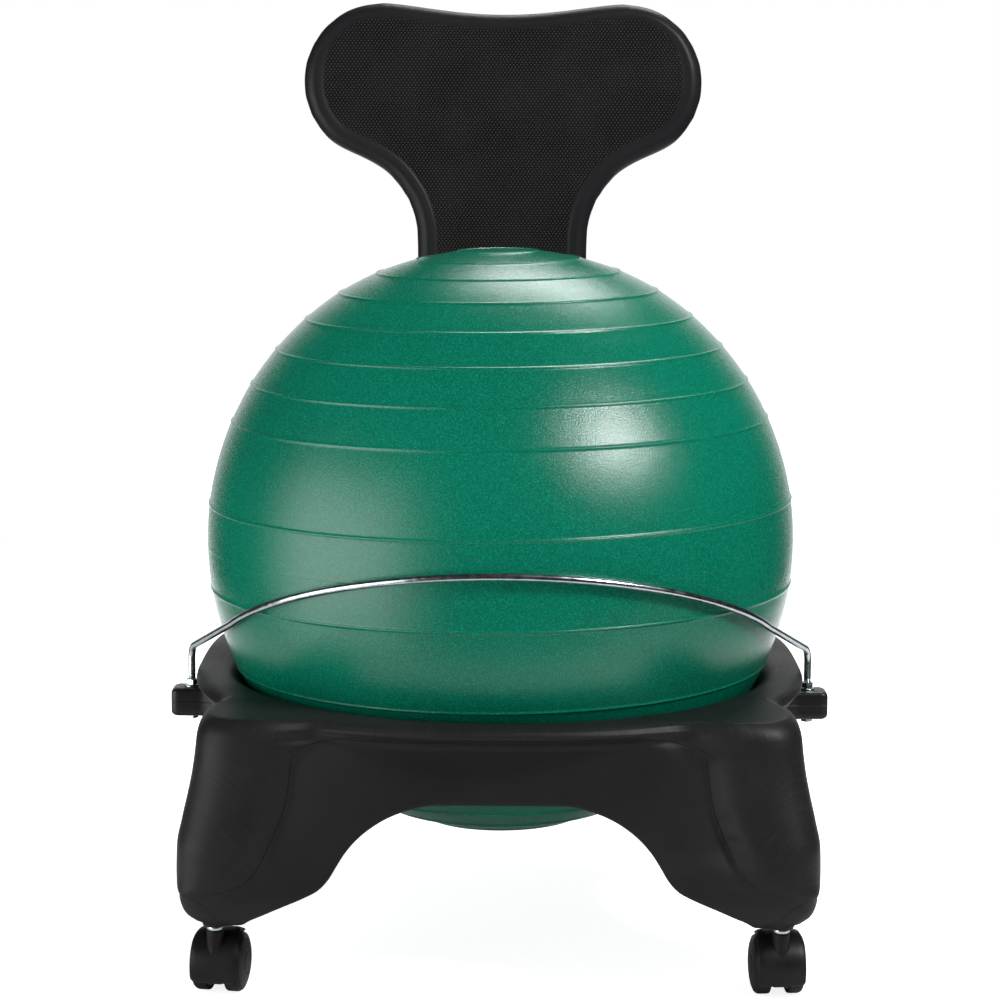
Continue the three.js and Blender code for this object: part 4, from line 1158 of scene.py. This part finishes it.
def barrel_patch():
    """The upright barrel with its bore, as a closed loop carried round. Towards the front it
    spreads where it meets the hood."""
    angle = full_turn(56)
    radius, level = barrel_section.T[:, :, None]
    spread = barrel_spread * (1 - ease(level, *spread_levels)) * (radius > spread_beyond)
    radius = radius + spread * np.maximum(0, -np.sin(angle)) ** 2
    return patch(about_axis(radius, angle, level), loop=True)


def slab_patch(outline, low, high, soft=0.0006):
    """An outline in the plane of the wheels carried across from low to high, its two faces drawn
    in round a small quarter circle."""
    across, inset = round_ends(low, high, soft, 5)
    plan = drawn_in(outline, inset)
    return patch(places(across, plan[..., 0], plan[..., 1]))


def lug_outline():
    """A tab from the hood out to the pin and round it."""
    turn = np.linspace(-np.pi / 2, np.pi / 2, 17)
    out = np.concatenate([[0.0266, 0.0300], pin_reach + lug_radius * np.cos(turn),
                          [0.0300, 0.0266]])
    side = np.concatenate([[-0.0044, -0.0037], lug_radius * np.sin(turn), [0.0037, 0.0044]])
    c, s = math.cos(pin_slope), math.sin(pin_slope)
    return places(trail + out * c - side * s, wheel_radius + out * s + side * c)


hub = (0, trail, wheel_radius)
for name, (_, end, _) in corners.items():
    caster = f"{name}_caster"
    housing = [web_patch(), hood_patch(hood_rear[end]), barrel_patch()]
    if end > 0:
        housing += [slab_patch(lug_outline(), low, low + lug_thick) for low in lug_lefts]
    axle = turned(pin_profile(0.003, 0.018, 0.0003, 0.0003), hub, 32, axis="X")
    collar = turned(sleeve_section, closed=True)
    make_caster_piece(name, "housing", caster, nylon, "caster_body", *housing)
    make_caster_piece(name, "stem_pin", caster, zinc, "stem", turned(stem_section))
    make_caster_piece(name, "sleeve", "chair", nylon, "socket", collar)
    make_caster_piece(name, "axle_pin", caster, zinc, "axle", axle)
    for wheel, across in both_sides:
        section = wheel_section * [1, across]
        disc = turned(section, hub, wheel_sides, axis="X")
        ring, reach = full_turn(wheel_sides), section[:, :1]
        fields = {
            "disc": places(reach, reach * ring, section[:, 1:]).reshape(-1, 3),
            "on_tread": ((reach > tread_start) + 0 * ring).ravel(),
        }
        make_caster_piece(name, f"{wheel}_disc", f"{name}_wheel_{wheel}", tread,
                          f"wheel_{wheel}", disc, fields=fields)

# Brakes: each rear caster has a nylon lever on a plated pin between two lugs of the hood. Its hub
# turns on the pin, its pedal stands out behind with a turned-up end and fine ribs for the foot.
pin_half = 0.0118
arm_half = 0.0068
pedal_half = 0.014
# Sections in millimetres. The hub's is radius and distance along the pin, the arm's and the
# pedal's are measured from the pin: the pedal goes under its flat bar, round its turned-up end
# and back over three low ribs.
hub_section = np.array([
    (1.9, -6.7), (2.2, -7), (3.3, -7), (3.6, -6.7), (3.6, 6.7), (3.3, 7), (2.2, 7), (1.9, 6.7),
]) / 1000
arm_section = np.array([(2.9, -1.5), (9.4, -1.5), (9.4, 1.5), (2.9, 1.5)]) / 1000
pedal_section = np.array([
    (3.9, -1.5), (6.0, -1.45), (9.0, -1.3), (12.0, -1.1), (15.0, -0.9), (17.5, -0.6),
    (19.6, -0.2), (21.0, 0.8), (21.4, 1.7), (21.2, 2.3), (20.4, 2.7), (19.0, 2.6), (18.2, 2.2),
    (17.6, 1.9), (17.0, 2.3), (16.4, 2.3), (15.6, 1.7), (15.0, 1.6), (14.4, 2.1), (13.8, 2.1),
    (13.0, 1.6), (12.4, 1.55), (11.8, 2.0), (11.2, 1.5), (9.0, 1.5), (6.0, 1.5), (3.9, 1.5),
]) / 1000

at_pin = (0, pin_y, pin_z)
for name in ("rear_left", "rear_right"):
    pin = turned(pin_profile(0.0016, pin_half, 0.0004, 0.0003), at_pin, 28, axis="X")
    make_caster_piece(
        name, "pedal", f"{name}_brake", nylon, "brake_lever",
        turned(hub_section, at_pin, 40, True, "X"),
        slab_patch(arm_section + at_pin[1:], -arm_half, arm_half, 0.0004),
        slab_patch(pedal_section + at_pin[1:], -pedal_half, pedal_half, 0.0010), sharp=35,
    )
    make_caster_piece(name, "hinge_pin", f"{name}_caster", zinc, "brake_pin", pin)

# Floor, light and camera: a sheet of matt white paper takes the shadow, three soft boxes light the
# chair from the right, the left and behind, and a long lens looks slightly down on it.
white = (1, 1, 1, 1)
lens = 103.46
camera_back = 2.5296
camera_height = 0.7631
looking_down = math.radians(8.574)
rolled = math.radians(0.33)
room_level = 0.36
room_in_reflections = 0.02


def reflected(path):
    """1 for the rays that a surface reflects or lets through, 0 for the others."""
    return calculate(tree, "MAXIMUM", path.outputs["Is Glossy Ray"],
                     path.outputs["Is Transmission Ray"])


floor_mesh = bpy.data.meshes.new("studio_floor")
floor_mesh.from_pydata([(-0.8, -0.62, 0), (0.8, -0.62, 0), (0.8, 4, 0), (-0.8, 4, 0)], [],
                       [(0, 1, 2, 3)])
put_in_scene("studio_floor", floor_mesh)
paper, tree, shader = new_finish("studio_floor", (0.8, 0.8, 0.8, 1), 0.9, 0.1)
path = add_node(tree, "LightPath")
seen = times(tree, reflected(path), ramp(tree, object_axis(tree, 1), 0.3, 1.2))
seen = calculate(tree, "MAXIMUM", seen, path.outputs["Is Camera Ray"])
away = add_node(tree, "VectorMath", [(0, object_place(tree))], operation="LENGTH").outputs["Value"]
seen = times(tree, seen, ramp(tree, away, 0.36, 0.58, 0.85, 1.0))
glow = add_node(tree, "Emission", [("Color", white), ("Strength", seen)])
both = add_node(tree, "AddShader", [(0, shader.outputs[0]), (1, glow.outputs[0])])
tree.links.new(both.outputs[0], tree.nodes["Material Output"].inputs["Surface"])
floor_mesh.materials.append(paper[1])

# The white backdrop stands behind the chair, and the rest of the room is dimmer, so reflections
# show white only from behind; the eye sees white all round.
world = bpy.data.worlds.new("studio")
bpy.context.scene.world = world
world.use_nodes = True
tree = world.node_tree
path = add_node(tree, "LightPath")
facing = add_node(tree, "SeparateXYZ", [(0, add_node(tree, "TexCoord").outputs["Generated"])])
backdrop = ramp(tree, facing.outputs[1], 0.84, 0.95)
seen = reflected(path)
room = ramp(tree, seen, 0.0, 1.0, room_level, room_in_reflections)
seen = calculate(tree, "MAXIMUM", times(tree, seen, backdrop), path.outputs["Is Camera Ray"])
level = times(tree, calculate(tree, "SUBTRACT", 1.0, room), seen, room)
background = tree.nodes["Background"]
tree.links.new(level, background.inputs["Strength"])
background.inputs["Color"].default_value = white


def add_light(name, direction, distance, width, tall, power):
    """A soft box that faces the ball's centre from a direction."""
    light = bpy.data.lights.new(name, "AREA")
    light.shape = "RECTANGLE"
    light.size, light.size_y, light.energy = width, tall, power
    lamp = put_in_scene(name, light)
    aim = np.array(direction, float) / np.linalg.norm(direction)
    lamp.location = Vector(ball_centre + aim * distance)
    lamp.rotation_euler = Vector(aim).to_track_quat("Z", "Y").to_euler()


add_light("key", (0.61, -0.46, 0.61), 2.6, 0.60, 0.60, 54)
add_light("fill", (-0.88, -0.46, -0.04), 2.4, 2.3, 2.1, 46)
add_light("top", (0.15, 0.57, 0.80), 2.4, 1.1, 0.5, 22)

camera_data = bpy.data.cameras.new("camera")
camera_data.sensor_width = 36
camera_data.lens = lens
camera_data.shift_x = -0.0007
camera = put_in_scene("camera", camera_data)
camera.location = (0, axis_y - camera_back, camera_height)
camera.rotation_euler = (
    Matrix.Rotation(math.pi / 2 - looking_down, 3, "X") @ Matrix.Rotation(rolled, 3, "Z")
).to_euler()
bpy.context.scene.camera = camera
bpy.context.scene.view_settings.view_transform = "Standard"
